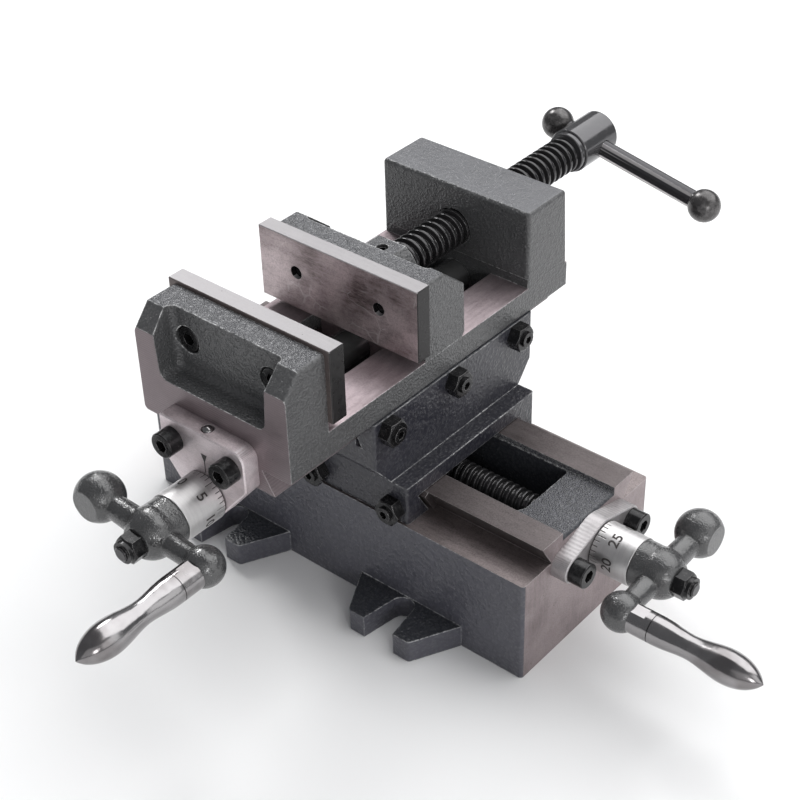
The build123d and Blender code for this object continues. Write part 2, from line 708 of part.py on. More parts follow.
with BuildPart(along_minus_y(body_x, rod_z)) as guide_rod:
    with Locations((0, 0, -rod_rear_y)):
        Cylinder(rod_r, rod_rear_y - rod_front_y, align=AXIS_UP)
    chamfer(guide_rod.edges(), 0.8)
write(guide_rod, "guide_rod")

with BuildPart() as fixed_jaw_plate:
    with BuildSketch(Plane.XY.offset(plate_bottom_z)):
        with Locations((body_x, fixed_jaw_back_y + plate_thick_fixed / 2)):
            Rectangle(2 * plate_half_x, plate_thick_fixed)
    extrude(amount=plate_top_z - plate_bottom_z)
    chamfer(fixed_jaw_plate.edges(), 0.4)
    for step in (-1, 1):
        hole = along_minus_y(body_x + step * plate_screw_x, plate_screw_z)
        with Locations(hole.offset(-fixed_jaw_back_y - 6.5)):
            Cylinder(m8 + running, 12, align=AXIS_UP, mode=Mode.SUBTRACT)
write(fixed_jaw_plate, "fixed_jaw_plate")

for label, step in (("fixed_jaw_screw_left", -1), ("fixed_jaw_screw_right", 1)):
    seat = along_minus_y(body_x + step * plate_screw_x, plate_screw_z).offset(-fixed_web_y - 8.2)
    write(cap_screw(seat, 10.4), label)

# Y bearing plate on the body's front, with its two screws and an oil ball
with BuildPart() as y_bearing_plate:
    with BuildSketch(along_minus_y(body_x, y_screw_z).offset(-body_front_y)) as y_bearing_plate_outline:
        Circle(12.2)
        with Locations((y_plate_half - 3.0, 14.5), (3.0 - y_plate_half, 14.5)):
            Circle(3.0)
        make_hull()
        with Locations((0, (y_plate_rise + 14.5) / 2)):
            Rectangle(2 * y_plate_half, y_plate_rise - 14.5)
        top_corners = y_bearing_plate_outline.vertices().group_by(Axis.Y)[-1].sort_by(Axis.X)
        fillet(top_corners[0], 1.5)
        top_corners = y_bearing_plate_outline.vertices().sort_by(lambda v: v.X + v.Y)
        fillet(top_corners[-1], 6.5)
        Circle(journal_r + running, mode=Mode.SUBTRACT)
        lift = plate_screw_y_z - y_screw_z
        with Locations((plate_screw_y_plate, lift), (-plate_screw_y_plate, lift)):
            Circle(m8 + 0.3, mode=Mode.SUBTRACT)
    extrude(amount=y_plate_thick)
    chamfer(y_bearing_plate.faces().sort_by(Axis.Y)[0].outer_wire().edges(), 0.6)
    with Locations((body_x, body_front_y - oil_ball_y, y_screw_z + y_plate_rise)):
        Cylinder(oil_ball_r + running, 10, mode=Mode.SUBTRACT)
write(y_bearing_plate, "y_bearing_plate")

oil_seat = (body_x, body_front_y - oil_ball_y, y_screw_z + y_plate_rise - 5)
with BuildPart(Plane(origin=oil_seat)) as oil_ball:
    Cylinder(oil_ball_r, 3.5, align=AXIS_UP)
    with Locations((0, 0, 3.4)):
        Sphere(oil_ball_r - 0.2)
write(oil_ball, "oil_ball")

for label, step in (("y_plate_screw_left", -1), ("y_plate_screw_right", 1)):
    seat = along_minus_y(body_x + step * plate_screw_y_plate, plate_screw_y_z).offset(-y_plate_face)
    write(cap_screw(seat, y_plate_thick + 13), label)

# Y lead screw, dial and ball crank, carried by the vise body
y_leadscrew = shaft(
    along_minus_y(body_x, y_screw_z),
    (
        (-62.0, 112.0, lead_r),
        (111.0, -body_front_y - 0.2, 9.8),
        (111.0, -y_dial_end, journal_r),
        (-y_dial_end, -y_hub + crank_hub_front - 0.5, hub_journal_r),
        (-y_hub + crank_hub_front - 0.5, -y_hub + 20.0, m8),
    ),
)
write(y_leadscrew, "y_leadscrew")

with BuildPart(along_minus_y(body_x, y_screw_z)) as y_dial:
    with Locations((0, 0, -y_dial_start)):
        Cylinder(dial_r, y_dial_length, align=AXIS_UP)
        Cylinder(journal_r + running, y_dial_length, align=AXIS_UP, mode=Mode.SUBTRACT)
    chamfer(y_dial.edges().group_by(Axis.Y)[-1].sort_by(SortBy.LENGTH)[-1], 0.6)
write(y_dial, "y_dial")

tilt = math.radians(y_crank_tilt)
y_crank_plane = Plane(
    origin=(body_x, y_hub, y_screw_z), x_dir=(-math.cos(tilt), 0, math.sin(tilt)), z_dir=(0, -1, 0)
)
y_crank = ball_crank(y_crank_plane)
write(y_crank, "y_crank")
y_crank_nut = hex_nut(y_crank_plane.offset(crank_hub_front), nut_flats, 6.5, m8 + running, 2.0)
write(y_crank_nut, "y_crank_nut")
y_grip_plane = y_crank_plane.shift_origin(y_crank_plane.from_local_coords((-crank_small_reach, 0, 0)))
y_grip_stud = grip_stud(y_grip_plane)
write(y_grip_stud, "y_grip_stud")
y_grip = grip(y_grip_plane)
write(y_grip, "y_grip")

# Movable jaw: web, two end ribs, round screw boss, and a lug that hooks round the guide rod
with BuildPart() as movable_jaw_casting:
    with BuildSketch(Plane.YZ.offset(body_x - body_half_x)):
        Polygon(
            (jaw_front_y, ways_z),
            (jaw_front_y, jaw_top_z),
            (jaw_web_y + 1.7, jaw_top_z),
            (jaw_rear_y - 0.5, jaw_top_z - 13.3),
            (jaw_rear_y, ways_z + 4.2),
            (jaw_rear_y - 3.0, ways_z),
            align=None,
        )
    extrude(amount=2 * body_half_x)
    jaw_ends = movable_jaw_casting.edges().filter_by_position(Axis.Y, jaw_front_y + 1, jaw_rear_y + 1)
    jaw_ends = jaw_ends.filter_by_position(Axis.Z, ways_z + 5, jaw_top_z + 1)
    fillet(jaw_ends.group_by(Axis.X)[0] + jaw_ends.group_by(Axis.X)[-1], 1.8)
    with BuildSketch(Plane.XY.offset(jaw_foot_z)):
        with Locations((body_x, jaw_web_y + 15)):
            Rectangle(2 * (body_half_x - jaw_rib), 30)
    extrude(amount=60, mode=Mode.SUBTRACT)
    inner = movable_jaw_casting.edges().filter_by(Axis.Z)
    fillet(inner.filter_by_position(Axis.Y, jaw_web_y - 0.1, jaw_web_y + 0.1), 3.0)
    with BuildSketch(along_minus_y(body_x, vise_screw_z).offset(-jaw_boss_rear_y)):
        Circle(jaw_boss_r)
        with Locations((0, jaw_boss_top_z - vise_screw_z + 10)):
            Rectangle(40, 20, mode=Mode.SUBTRACT)
    extrude(amount=jaw_boss_rear_y - jaw_web_y + 2)
    with BuildSketch(Plane.XY.offset(ways_channel_z + 5)):
        with Locations((body_x, (jaw_front_y + jaw_rear_y - 0.5) / 2)):
            Rectangle(2 * (ways_channel_half - 0.3), jaw_rear_y - jaw_front_y - 5.5)
    extrude(amount=ways_z - ways_channel_z - 4)
    with Locations(along_minus_y(body_x, rod_z)):
        Cylinder(rod_r + running, 100, mode=Mode.SUBTRACT)
    with Locations(along_minus_y(body_x, vise_screw_z).offset(5.2)):
        Cylinder(
            vise_nose_r + running, 30, mode=Mode.SUBTRACT, align=(Align.CENTER, Align.CENTER, Align.MAX)
        )
    with Locations((body_x, 2.6, vise_screw_z)):
        Cylinder(3.0 + running, 30, mode=Mode.SUBTRACT, align=AXIS_UP)
    for step in (-1, 1):
        with Locations(along_minus_y(body_x + step * plate_screw_x, plate_screw_z)):
            Cylinder(m8 + 0.3, 60, mode=Mode.SUBTRACT, align=AXIS_UP)
write(movable_jaw_casting, "movable_jaw_casting")

with BuildPart() as movable_jaw_plate:
    with BuildSketch(Plane.XY.offset(plate_bottom_z)):
        with Locations((body_x, jaw_front_y - plate_thick_moving / 2)):
            Rectangle(2 * plate_half_x, plate_thick_moving)
    extrude(amount=plate_top_z - plate_bottom_z)
    chamfer(movable_jaw_plate.edges(), 0.4)
    for step in (-1, 1):
        with Locations(along_minus_y(body_x + step * plate_screw_x, plate_screw_z)):
            Cylinder(3.5, 60, mode=Mode.SUBTRACT, align=AXIS_UP)
            Cylinder(m8 + running, 28.5, mode=Mode.SUBTRACT, align=AXIS_UP)
write(movable_jaw_plate, "movable_jaw_plate")

for label, step in (("movable_jaw_screw_left", -1), ("movable_jaw_screw_right", 1)):
    place = (body_x + step * plate_screw_x, jaw_web_y, plate_screw_z)
    seat = Plane(origin=place, x_dir=(1, 0, 0), z_dir=(0, 1, 0))
    write(cap_screw(seat, 28.2 + jaw_web_y), label)

# Set screw that keeps the screw's grooved nose in the jaw
with BuildPart(Plane(origin=(body_x, 2.6, 0))) as jaw_set_screw:
    with Locations((0, 0, vise_screw_z + 7.7)):
        Cylinder(3.0, jaw_boss_top_z - vise_screw_z - 8.7, align=AXIS_UP)
    with Locations((0, 0, vise_screw_z + 5.9)):
        Cylinder(1.8, 2, align=AXIS_UP)
    with BuildSketch(Plane(origin=(body_x, 2.6, jaw_boss_top_z - 1))):
        RegularPolygon(1.5, 6, major_radius=False)
    extrude(amount=-3, mode=Mode.SUBTRACT)
write(jaw_set_screw, "jaw_set_screw")

# Vise screw with its grooved nose and cross-drilled head
bar_angle = math.radians(bar_tilt)
bar_plane = Plane(
    origin=(body_x, bar_y, vise_screw_z),
    x_dir=(0, 1, 0),
    z_dir=(math.cos(bar_angle), 0, -math.sin(bar_angle)),
)
vise_screw_sections = (
    (-0.6, 4.5, vise_nose_r),
    (-4.7, -0.5, 5.4),
    (-jaw_boss_rear_y - 0.7, -4.6, vise_nose_r),
    (-vise_head_y + 2.9, -jaw_boss_rear_y - 0.6, vise_screw_r),
    (-vise_head_y - 0.1, -vise_head_y + 3, vise_head_r - 1.0),
    (-vise_head_end_y, -vise_head_y, vise_head_r),
)
with BuildPart() as vise_screw:
    for start, end, radius in vise_screw_sections:
        with Locations(along_minus_y(body_x, vise_screw_z).offset(start)):
            Cylinder(radius, end - start, align=AXIS_UP)
    chamfer(vise_screw.edges().group_by(Axis.Y)[-1], 1.0)
    with Locations(bar_plane):
        Cylinder(bar_r + 0.1, 40, mode=Mode.SUBTRACT)
write(vise_screw, "vise_screw")

# Tommy bar, slid to its +X end as photographed, with a ball at each end
# The inner ball rests in the mouth of the head's cross hole
inner_ball = -(vise_head_r + math.sqrt(bar_ball_r**2 - (bar_r + 0.1) ** 2) + 0.38)
outer_ball = inner_ball + bar_length
ball_flat = math.sqrt(bar_ball_r**2 - bar_r**2) - 0.1
tommy_bar = shaft(
    bar_plane,
    (
        (inner_ball + ball_flat, outer_ball - ball_flat, bar_r),
        (inner_ball + 1.5, inner_ball + ball_flat + 1, 3.5),
        (outer_ball - ball_flat - 1, outer_ball - 1.5, 3.5),
    ),
)
write(tommy_bar, "tommy_bar")

for label, place, inward in (("tommy_ball_inner", inner_ball, 1), ("tommy_ball_outer", outer_ball, -1)):
    with BuildPart(bar_plane.offset(place)) as ball:
        Sphere(bar_ball_r)
        with Locations((0, 0, inward * (ball_flat + 5))):
            Box(20, 20, 10, mode=Mode.SUBTRACT)
        with Locations((0, 0, inward * 6)):
            Cylinder(3.5 + running, 10, mode=Mode.SUBTRACT)
    write(ball, label)
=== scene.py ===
"""The look of the cross slide vise: finishes, threads, dials and studio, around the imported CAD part."""

import logging
import math
from dataclasses import dataclass, replace
from enum import Enum
from typing import Callable, Sequence

import bpy
from mathutils import Matrix, Vector


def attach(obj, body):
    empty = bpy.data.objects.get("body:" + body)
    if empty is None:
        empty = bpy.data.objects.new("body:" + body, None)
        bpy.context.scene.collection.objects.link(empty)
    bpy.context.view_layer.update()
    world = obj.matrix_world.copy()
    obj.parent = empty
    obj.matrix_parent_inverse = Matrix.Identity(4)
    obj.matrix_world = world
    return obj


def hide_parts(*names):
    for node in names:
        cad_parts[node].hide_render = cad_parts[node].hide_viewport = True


log = logging.getLogger("vise")
Piece = bpy.types.Object
Socket = bpy.types.NodeSocket
Tree = bpy.types.NodeTree
Outputs = bpy.types.NodeOutputs
Colour = tuple[float, float, float]
MM = 0.001
MERGE = 1e-6  # how near two vertices are welded, in metres
FLATS = 64  # how many go round a turned piece
CENTRE_X = -4.4  # the saddle's upper slot, the vise and both of their screws lie on it
X_FEED_Z = 55.7  # the height of each screw's axis, in millimetres
Y_FEED_Z = 98.5
CLAMP_Z = 155.8
BAR_TILT = 10.8  # the tommy bar's slope from X towards -Z, in degrees


class Heading(Enum):
    """The way that the axis of a turned piece points, as the columns of its turn."""

    ALONG_X = ((0, 1, 0), (0, 0, 1), (1, 0, 0))
    ALONG_MINUS_Y = ((1, 0, 0), (0, 0, 1), (0, -1, 0))

    def frame(self) -> Matrix:
        """Returns the turn that lays local Z along this heading, with local Y upwards."""
        return Matrix(self.value).transposed().to_4x4()


def place(heading: Heading, x: float, y: float, z: float) -> Matrix:
    """A frame at a point, turned to a heading.

    Args:
        heading: where local Z points.
        x, y, z: the point, in millimetres.

    Returns:
        The frame in metres.
    """
    return Matrix.Translation(Vector((x, y, z)) * MM) @ heading.frame()


# -------- modelling by hand


class Bench:
    """Modelling steps that every sub-assembly uses."""

    @staticmethod
    def mode(name: str) -> None:
        """Enters edit or object mode."""
        bpy.ops.object.mode_set(mode=name)

    @staticmethod
    def take_all() -> None:
        """Selects all of the mesh in edit mode."""
        bpy.ops.mesh.select_all(action="SELECT")

    @staticmethod
    def edit() -> None:
        """Enters edit mode with all of the mesh selected."""
        Bench.mode("EDIT")
        Bench.take_all()

    @staticmethod
    def settle() -> None:
        """Applies the selected piece's place, turn and scale to its mesh."""
        bpy.ops.object.transform_apply(location=True, rotation=True, scale=True)

    @staticmethod
    def alone(piece: Piece) -> None:
        """Selects one piece and nothing else."""
        bpy.ops.object.select_all(action="DESELECT")
        piece.select_set(True)
        bpy.context.view_layer.objects.active = piece

    @staticmethod
    def pick(piece: Piece, faces: Callable[[Vector, Vector], bool]) -> None:
        """Selects the faces that a rule takes, in edit mode's face mode.

        Args:
            piece: the mesh in edit mode.
            faces: takes a face's centre in millimetres and its normal.
        """
        bpy.ops.mesh.select_mode(type="FACE")
        bpy.ops.mesh.select_all(action="DESELECT")
        Bench.mode("OBJECT")
        for face in piece.data.polygons:
            face.select = bool(faces(face.center / MM, face.normal))
        Bench.mode("EDIT")

    @staticmethod
    def draw(name: str, points: Sequence[tuple[float, float]]) -> Piece:
        """Draws a half profile: one vertex extruded from point to point in the XZ plane.

        Args:
            name: the piece's name.
            points: radius and height of each point, in millimetres.

        Returns:
            The piece, left in edit mode with all of it selected.
        """
        first = Vector((points[0][0], 0, points[0][1])) * MM
        bpy.ops.mesh.primitive_plane_add(size=MM, location=first)
        piece = bpy.context.object
        piece.name = name
        Bench.settle()
        Bench.edit()
        bpy.ops.mesh.merge(type="CENTER")
        bpy.ops.mesh.select_mode(type="VERT")
        Bench.take_all()
        for (r0, z0), (r1, z1) in zip(points, points[1:]):
            step = ((r1 - r0) * MM, 0, (z1 - z0) * MM)
            bpy.ops.mesh.extrude_region_move(TRANSFORM_OT_translate={"value": step})
        Bench.take_all()
        return piece

    @staticmethod
    def turned(name: str, points: Sequence[tuple[float, float]]) -> Piece:
        """Spins a half profile round local Z, closes the seam and turns the faces outwards.

        Args:
            name: the piece's name.
            points: radius and height of each point, in millimetres.

        Returns:
            The turned piece, in object mode.
        """
        piece = Bench.draw(name, points)
        bpy.ops.mesh.spin(steps=FLATS, angle=2 * math.pi, center=(0, 0, 0), axis=(0, 0, 1))
        Bench.take_all()
        bpy.ops.mesh.remove_doubles(threshold=MERGE)
        bpy.ops.mesh.normals_make_consistent(inside=False)
        Bench.mode("OBJECT")
        return piece

    @staticmethod
    def smooth(piece: Piece, degrees: float = 32.0) -> None:
        """Shades a piece smooth apart from its sharp edges."""
        Bench.alone(piece)
        bpy.ops.object.shade_smooth_by_angle(angle=math.radians(degrees))

    @staticmethod
    def join(pieces: Sequence[Piece], name: str) -> Piece:
        """Joins pieces into the first one."""
        Bench.alone(pieces[0])
        for piece in pieces:
            piece.select_set(True)
        bpy.ops.object.join()
        pieces[0].name = name
        return pieces[0]

    @staticmethod
    def put(piece: Piece, frame: Matrix) -> None:
        """Lays a piece in its place and applies that place to its mesh."""
        piece.matrix_world = frame @ piece.matrix_world
        bpy.context.view_layer.update()
        Bench.alone(piece)
        Bench.settle()

    @staticmethod
    def apply(piece: Piece, kind: str, **settings: object) -> None:
        """Adds a modifier with its settings and applies it."""
        Bench.alone(piece)
        modifier = piece.modifiers.new(kind.title(), kind)
        for key, value in settings.items():
            setattr(modifier, key, value)
        bpy.ops.object.modifier_apply(modifier=modifier.name)


# -------- finishes


class Wiring:
    """A short way to lay nodes and links in one tree."""

    def __init__(self, tree: Tree) -> None:
        """Takes the tree to work in."""
        self.tree = tree
        self.column = 0

    def add(self, kind: str, inputs: dict | None = None, **settings: object) -> bpy.types.Node:
        """Adds a node.

        Args:
            kind: the node's type name.
            inputs: for each input, by name or number, a value or the socket that feeds it.
            settings: the node's own options.

        Returns:
            The node.
        """
        node = self.tree.nodes.new(kind)
        node.location = (self.column * 190, -(self.column % 5) * 160)
        self.column += 1
        for key, value in settings.items():
            setattr(node, key, value)
        self.feed(node, inputs or {})
        return node

    def math(self, operation: str, a: object, b: object, clamp: bool = False) -> Socket:
        """Adds a Math node and returns its value."""
        return self.add("ShaderNodeMath", {0: a, 1: b}, operation=operation, use_clamp=clamp).outputs[0]

    def times(self, a: object, b: object, clamp: bool = False) -> Socket:
        """Adds a Math node that multiplies and returns its value."""
        return self.math("MULTIPLY", a, b, clamp)

    def vector(self, operation: str, a: object, b: object) -> Socket:
        """Adds a Vector Math node and returns its vector."""
        return self.add("ShaderNodeVectorMath", {0: a, 1: b}, operation=operation).outputs[0]

    def where(self) -> Socket:
        """Returns the object's own coordinates."""
        return self.add("ShaderNodeTexCoord").outputs["Object"]

    def feed(self, node: bpy.types.Node, inputs: dict) -> None:
        """Sets a node's inputs, by name or number, to values or to the sockets that feed them."""
        for key, value in inputs.items():
            socket = node.inputs[key]
            if isinstance(value, Socket):
                self.tree.links.new(value, socket)
            else:
                socket.default_value = (*value, 1.0) if socket.type == "RGBA" else value

    def span(self, value: object, low: float, high: float, start: float = 0.0, end: float = 1.0) -> Socket:
        """Adds a Map Range node that eases low to high into start to end and returns its value."""
        fed = {"Value": value, "From Min": low, "From Max": high, "To Min": start, "To Max": end}
        return self.add("ShaderNodeMapRange", fed, interpolation_type="SMOOTHSTEP").outputs["Result"]

    def blend(self, share: object, first: object, second: object) -> Socket:
        """Mixes two colours and returns the result."""
        return self.add("ShaderNodeMix", {0: share, 6: first, 7: second}, data_type="RGBA").outputs[2]

    def noise(self, where: Socket, scale: float, detail: float = 2.0, rough: float = 0.5) -> Socket:
        """Adds a noise over some coordinates and returns its value."""
        fed = {"Vector": where, "Scale": scale, "Detail": detail, "Roughness": rough}
        return self.add("ShaderNodeTexNoise", fed).outputs["Fac"]

    def bump(self, height: Socket, strength: float, depth: float, normal: Socket) -> Socket:
        """Adds a bump over a normal and returns the new normal."""
        fed = {"Height": height, "Strength": strength, "Distance": depth, "Normal": normal}
        return self.add("ShaderNodeBump", fed).outputs["Normal"]


def effect(name: str, outs: Sequence[str], **ins: float) -> Callable:
    """Makes a function that lays nodes into one that places them as a node group, built once.

    Args:
        name: the group's name.
        outs: its outputs. One named Normal is a vector.
        ins: its inputs and their defaults.

    Returns:
        The decorator. What it makes takes a wiring and values, and returns the placed node's outputs.
    """

    def spaced(key: str) -> str:
        """Returns an input's name with spaces."""
        return key.replace("_", " ")

    def grouped(build: Callable) -> Tree:
        """Returns the node group with what build lays in it."""
        tree = bpy.data.node_groups.new(name, "ShaderNodeTree")
        for key, value in ins.items():
            made = tree.interface.new_socket(spaced(key), in_out="INPUT", socket_type="NodeSocketFloat")
            made.default_value = value
        for key in outs:
            kind = "NodeSocketVector" if key == "Normal" else "NodeSocketFloat"
            tree.interface.new_socket(key, in_out="OUTPUT", socket_type=kind)
        wires = Wiring(tree)
        given = wires.add("NodeGroupInput")
        result = wires.add("NodeGroupOutput")
        wires.feed(result, build(wires, wires.where(), given.outputs))
        return tree

    def decorate(build: Callable) -> Callable:
        """Turns the function that lays the nodes into the one that places the group."""

        def placed(w: Wiring, **values: float) -> Outputs:
            """Places the group in a wiring with its own values and returns its outputs."""
            tree = bpy.data.node_groups.get(name) or grouped(build)
            fed = {spaced(key): value for key, value in values.items()}
            return w.add("ShaderNodeGroup", fed, node_tree=tree).outputs

        return placed

    return decorate


@effect("Cast skin", ("Height", "Tops", "Shade"), Scale=800.0, Bumps=1.0, Waves=0.8, Grit=0.12)
def cast_skin(w: Wiring, where: Socket, given: Outputs) -> dict:
    """Sand-cast skin under thick paint: rounded pebbles, finer grit and slow changes of shade."""
    fed = {"Vector": where, "Scale": given["Scale"], "Smoothness": 0.7}
    pebbles = w.add("ShaderNodeTexVoronoi", fed, feature="SMOOTH_F1")
    round_top = w.span(pebbles.outputs["Distance"], 0.05, 0.75, 1.0, 0.0)
    uneven = w.noise(where, 330.0, 3.0, 0.6)
    grit = w.noise(where, 2600.0, 2.0, 0.6)
    height = w.times(round_top, w.span(uneven, 0.35, 0.65, 0.35, 1.0))
    height = w.math("ADD", w.times(height, given["Bumps"]), w.times(uneven, given["Waves"]))
    height = w.math("ADD", height, w.times(grit, given["Grit"]))
    slow = w.noise(where, 26.0, 4.0, 0.6)
    return {"Height": height, "Tops": w.times(round_top, uneven), "Shade": slow}


@effect("Edge wear", ("Mask", "Normal"), Radius=0.0006, Breakup=0.8)
def edge_wear(w: Wiring, where: Socket, given: Outputs) -> dict:
    """Where an edge has lost its finish, and the normal of that edge rounded off."""
    rounded = w.add("ShaderNodeBevel", {"Radius": given["Radius"]}, samples=8).outputs["Normal"]
    flat = w.add("ShaderNodeNewGeometry").outputs["Normal"]
    along = w.add("ShaderNodeVectorMath", {0: rounded, 1: flat}, operation="DOT_PRODUCT")
    turn = w.span(w.math("SUBTRACT", 1.0, along.outputs["Value"]), 0.002, 0.055)
    broken = w.span(w.noise(where, 420.0, 4.0, 0.7), 0.40, 0.62)
    patchy = w.span(w.noise(where, 45.0), 0.35, 0.65, 0.25, 1.0)
    chance = w.times(w.times(broken, patchy), given["Breakup"])
    kept = w.math("ADD", chance, w.math("SUBTRACT", 1.0, given["Breakup"]))
    return {"Mask": w.times(turn, kept), "Normal": rounded}


@effect("Ground grain", ("Height", "Streak"), Across_X=1500.0, Across_Y=1500.0, Across_Z=1500.0)
def ground_grain(w: Wiring, where: Socket, given: Outputs) -> dict:
    """Fine parallel marks left by grinding or turning, stretched along one axis."""
    scale = w.add("ShaderNodeCombineXYZ", {k: given[f"Across {axis}"] for k, axis in enumerate("XYZ")})
    stretched = w.vector("MULTIPLY", where, scale.outputs[0])
    fine = w.noise(stretched, 1.0, 3.0, 0.6)
    broad = w.noise(stretched, 0.22)
    return {"Height": fine, "Streak": w.times(w.math("ADD", fine, broad), 0.5)}


@effect("Milling", ("Rows",), Rows=330.0)
def milling(w: Wiring, where: Socket, given: Outputs) -> dict:
    """Close rows of cutter marks on a milled face, slightly wavy."""
    fed = {"Vector": where, "Scale": given["Rows"], "Distortion": 1.6, "Detail": 2.0, "Detail Scale": 0.6}
    kind = {"wave_type": "BANDS", "bands_direction": "Z", "wave_profile": "SIN"}
    rows = w.add("ShaderNodeTexWave", fed, **kind).outputs["Fac"]
    fade = w.span(w.noise(where, 55.0), 0.35, 0.65, 0.3, 1.0)
    return {"Rows": w.times(rows, fade)}


@effect("Wavy scratches", ("Lines",), Amount=1.0)
def wavy_scratches(w: Wiring, where: Socket, given: Outputs) -> dict:
    """A few thin wandering scratches."""
    drift = w.add("ShaderNodeTexNoise", {"Vector": where, "Scale": 60.0, "Detail": 2.0})
    bent = w.vector("ADD", where, w.vector("MULTIPLY", drift.outputs["Color"], (0.012, 0.012, 0.012)))
    cells = w.add("ShaderNodeTexVoronoi", {"Vector": bent, "Scale": 62.0}, feature="DISTANCE_TO_EDGE")
    lines = w.span(cells.outputs["Distance"], 0.006, 0.03, 1.0, 0.0)
    here = w.span(w.noise(where, 48.0), 0.52, 0.62)
    return {"Lines": w.times(w.times(lines, here), given["Amount"])}


@effect("Stains", ("Cloud", "Specks", "Grain"), Specks=1.0)
def stains(w: Wiring, where: Socket, given: Outputs) -> dict:
    """Cloudy discoloration and small dark specks, as on bare iron that has been oiled and handled."""
    clouds = w.noise(where, 30.0, 5.0, 0.62)
    specks = w.add("ShaderNodeTexVoronoi", {"Vector": where, "Scale": 420.0}).outputs["Distance"]
    here = w.noise(where, 95.0)
    dots = w.times(w.span(specks, 0.06, 0.20, 1.0, 0.0), w.span(here, 0.58, 0.70))
    grain = w.noise(where, 1300.0, 2.0, 0.6)
    return {
        "Cloud": w.span(clouds, 0.34, 0.66),
        "Specks": w.times(dots, given["Specks"]),
        "Grain": w.span(grain, 0.35, 0.68),
    }


def tint(base: Colour, times: float) -> Colour:
    """Returns a linear colour made lighter or darker."""
    return tuple(min(1.0, part * times) for part in base)


@dataclass(frozen=True)
class Finish:
    """A finish by name, from which a material is made once."""

    name: str

    def lay(self, w: Wiring) -> dict:
        """Lays the finish's nodes and returns what feeds each of the shader's inputs."""
        raise NotImplementedError

    def material(self) -> bpy.types.Material:
        """Returns the finish's material."""
        title = f"{self.name}_finish"
        made = bpy.data.materials.get(title)
        if made:
            return made
        made = bpy.data.materials.new(title)
        made.use_nodes = True
        wires = Wiring(made.node_tree)
        wires.feed(made.node_tree.nodes["Principled BSDF"], self.lay(wires))
        return made


@dataclass(frozen=True)
class CastPaint(Finish):
    """Semi-gloss paint over sand-cast iron, bare and bright where its edges are broken; that brightness, and
    the lighter pebble tops, are partly painted highlight.
    """

    body: Colour = (0.059, 0.0595, 0.061)
    # light colour of chipped paint on edges and pebble tops, also serving as a painted highlight there
    worn_and_glint: Colour = (0.42, 0.42, 0.42)
    roughness: float = 0.32
    pebble: float = 860.0
    bumps: float = 1.0
    waves: float = 0.8
    relief: float = 0.00042
    # how far pebble tops are lightened: partly chipped paint, partly painted glint
    tops: float = 0.12
    edge: float = 0.0010
    # how far broken edges are lightened: partly chipped paint, partly painted highlight
    wear: float = 0.6

    def lay(self, w: Wiring) -> dict:
        """Paint colour, pebbled skin, lighter pebble tops and chipped edges; both lightenings are partly
        painted highlight.
        """
        skin = cast_skin(w, Scale=self.pebble, Bumps=self.bumps, Waves=self.waves)
        wear = edge_wear(w, Radius=self.edge, Breakup=0.95)
        # partly painted highlight: this edge mask lightens broken edges
        bare = w.times(wear["Mask"], self.wear, clamp=True)
        tone = w.blend(skin["Shade"], tint(self.body, 0.8), tint(self.body, 1.35))
        # partly painted highlight: pebble tops are lightened
        tone = w.blend(w.times(skin["Tops"], self.tops), tone, self.worn_and_glint)
        rough = w.span(skin["Shade"], 0.2, 0.8, self.roughness - 0.05, self.roughness + 0.07)
        return {
            "Base Color": w.blend(bare, tone, tint(self.worn_and_glint, 1.9)),
            "Roughness": w.math("SUBTRACT", rough, w.times(bare, 0.1)),
            "Normal": w.bump(skin["Height"], 0.8, self.relief, wear["Normal"]),
        }


@dataclass(frozen=True)
class GroundSteel(Finish):
    """Bare ground or milled iron, mauve-brown under its oil and stained."""

    body: Colour = (0.40, 0.34, 0.355)
    stained: Colour = (0.25, 0.20, 0.21)
    across: tuple = (300.0, 2600.0, 2600.0)
    roughness: float = 0.42
    cloud: float = 0.7
    specks: float = 0.6
    grain: float = 0.35
    rows: float = 0.0
    metallic: float = 0.7
    # how far the edges are lightened: partly burnished metal, partly painted highlight
    edge: float = 0.35
    depth: float = 0.00004
    scratches: float = 0.0

    def lay(self, w: Wiring) -> dict:
        """Grinding marks, clouds of discoloration, specks, cutter rows and bright edges, partly burnished
        metal and partly painted highlight.
        """
        x, y, z = self.across
        marks = ground_grain(w, Across_X=x, Across_Y=y, Across_Z=z)
        dirt = stains(w, Specks=self.specks)
        wear = edge_wear(w, Radius=0.00045, Breakup=0.5)
        tone = w.blend(w.times(dirt["Cloud"], self.cloud), self.body, self.stained)
        tone = w.blend(w.times(dirt["Grain"], self.grain), tone, tint(self.stained, 0.7))
        tone = w.blend(w.span(marks["Streak"], 0.3, 0.7, 0.0, 0.4), tone, tint(self.body, 1.3))
        height = marks["Height"]
        if self.rows:
            lines = milling(w, Rows=self.rows)["Rows"]
            tone = w.blend(w.times(lines, 0.5), tone, tint(self.body, 1.6))
            height = w.math("ADD", height, w.times(lines, 0.8))
        if self.scratches:
            scored = wavy_scratches(w, Amount=self.scratches)["Lines"]
            tone = w.blend(scored, tone, tint(self.body, 2.2))
        tone = w.blend(dirt["Specks"], tone, (0.05, 0.038, 0.038))
        return {
            # partly painted highlight: the edges are lightened towards a pale grey
            "Base Color": w.blend(w.times(wear["Mask"], self.edge), tone, (0.62, 0.60, 0.60)),
            "Roughness": w.span(marks["Streak"], 0.25, 0.75, self.roughness - 0.08, self.roughness + 0.1),
            "Normal": w.bump(height, 0.3, self.depth, wear["Normal"]),
            "Metallic": self.metallic,
        }


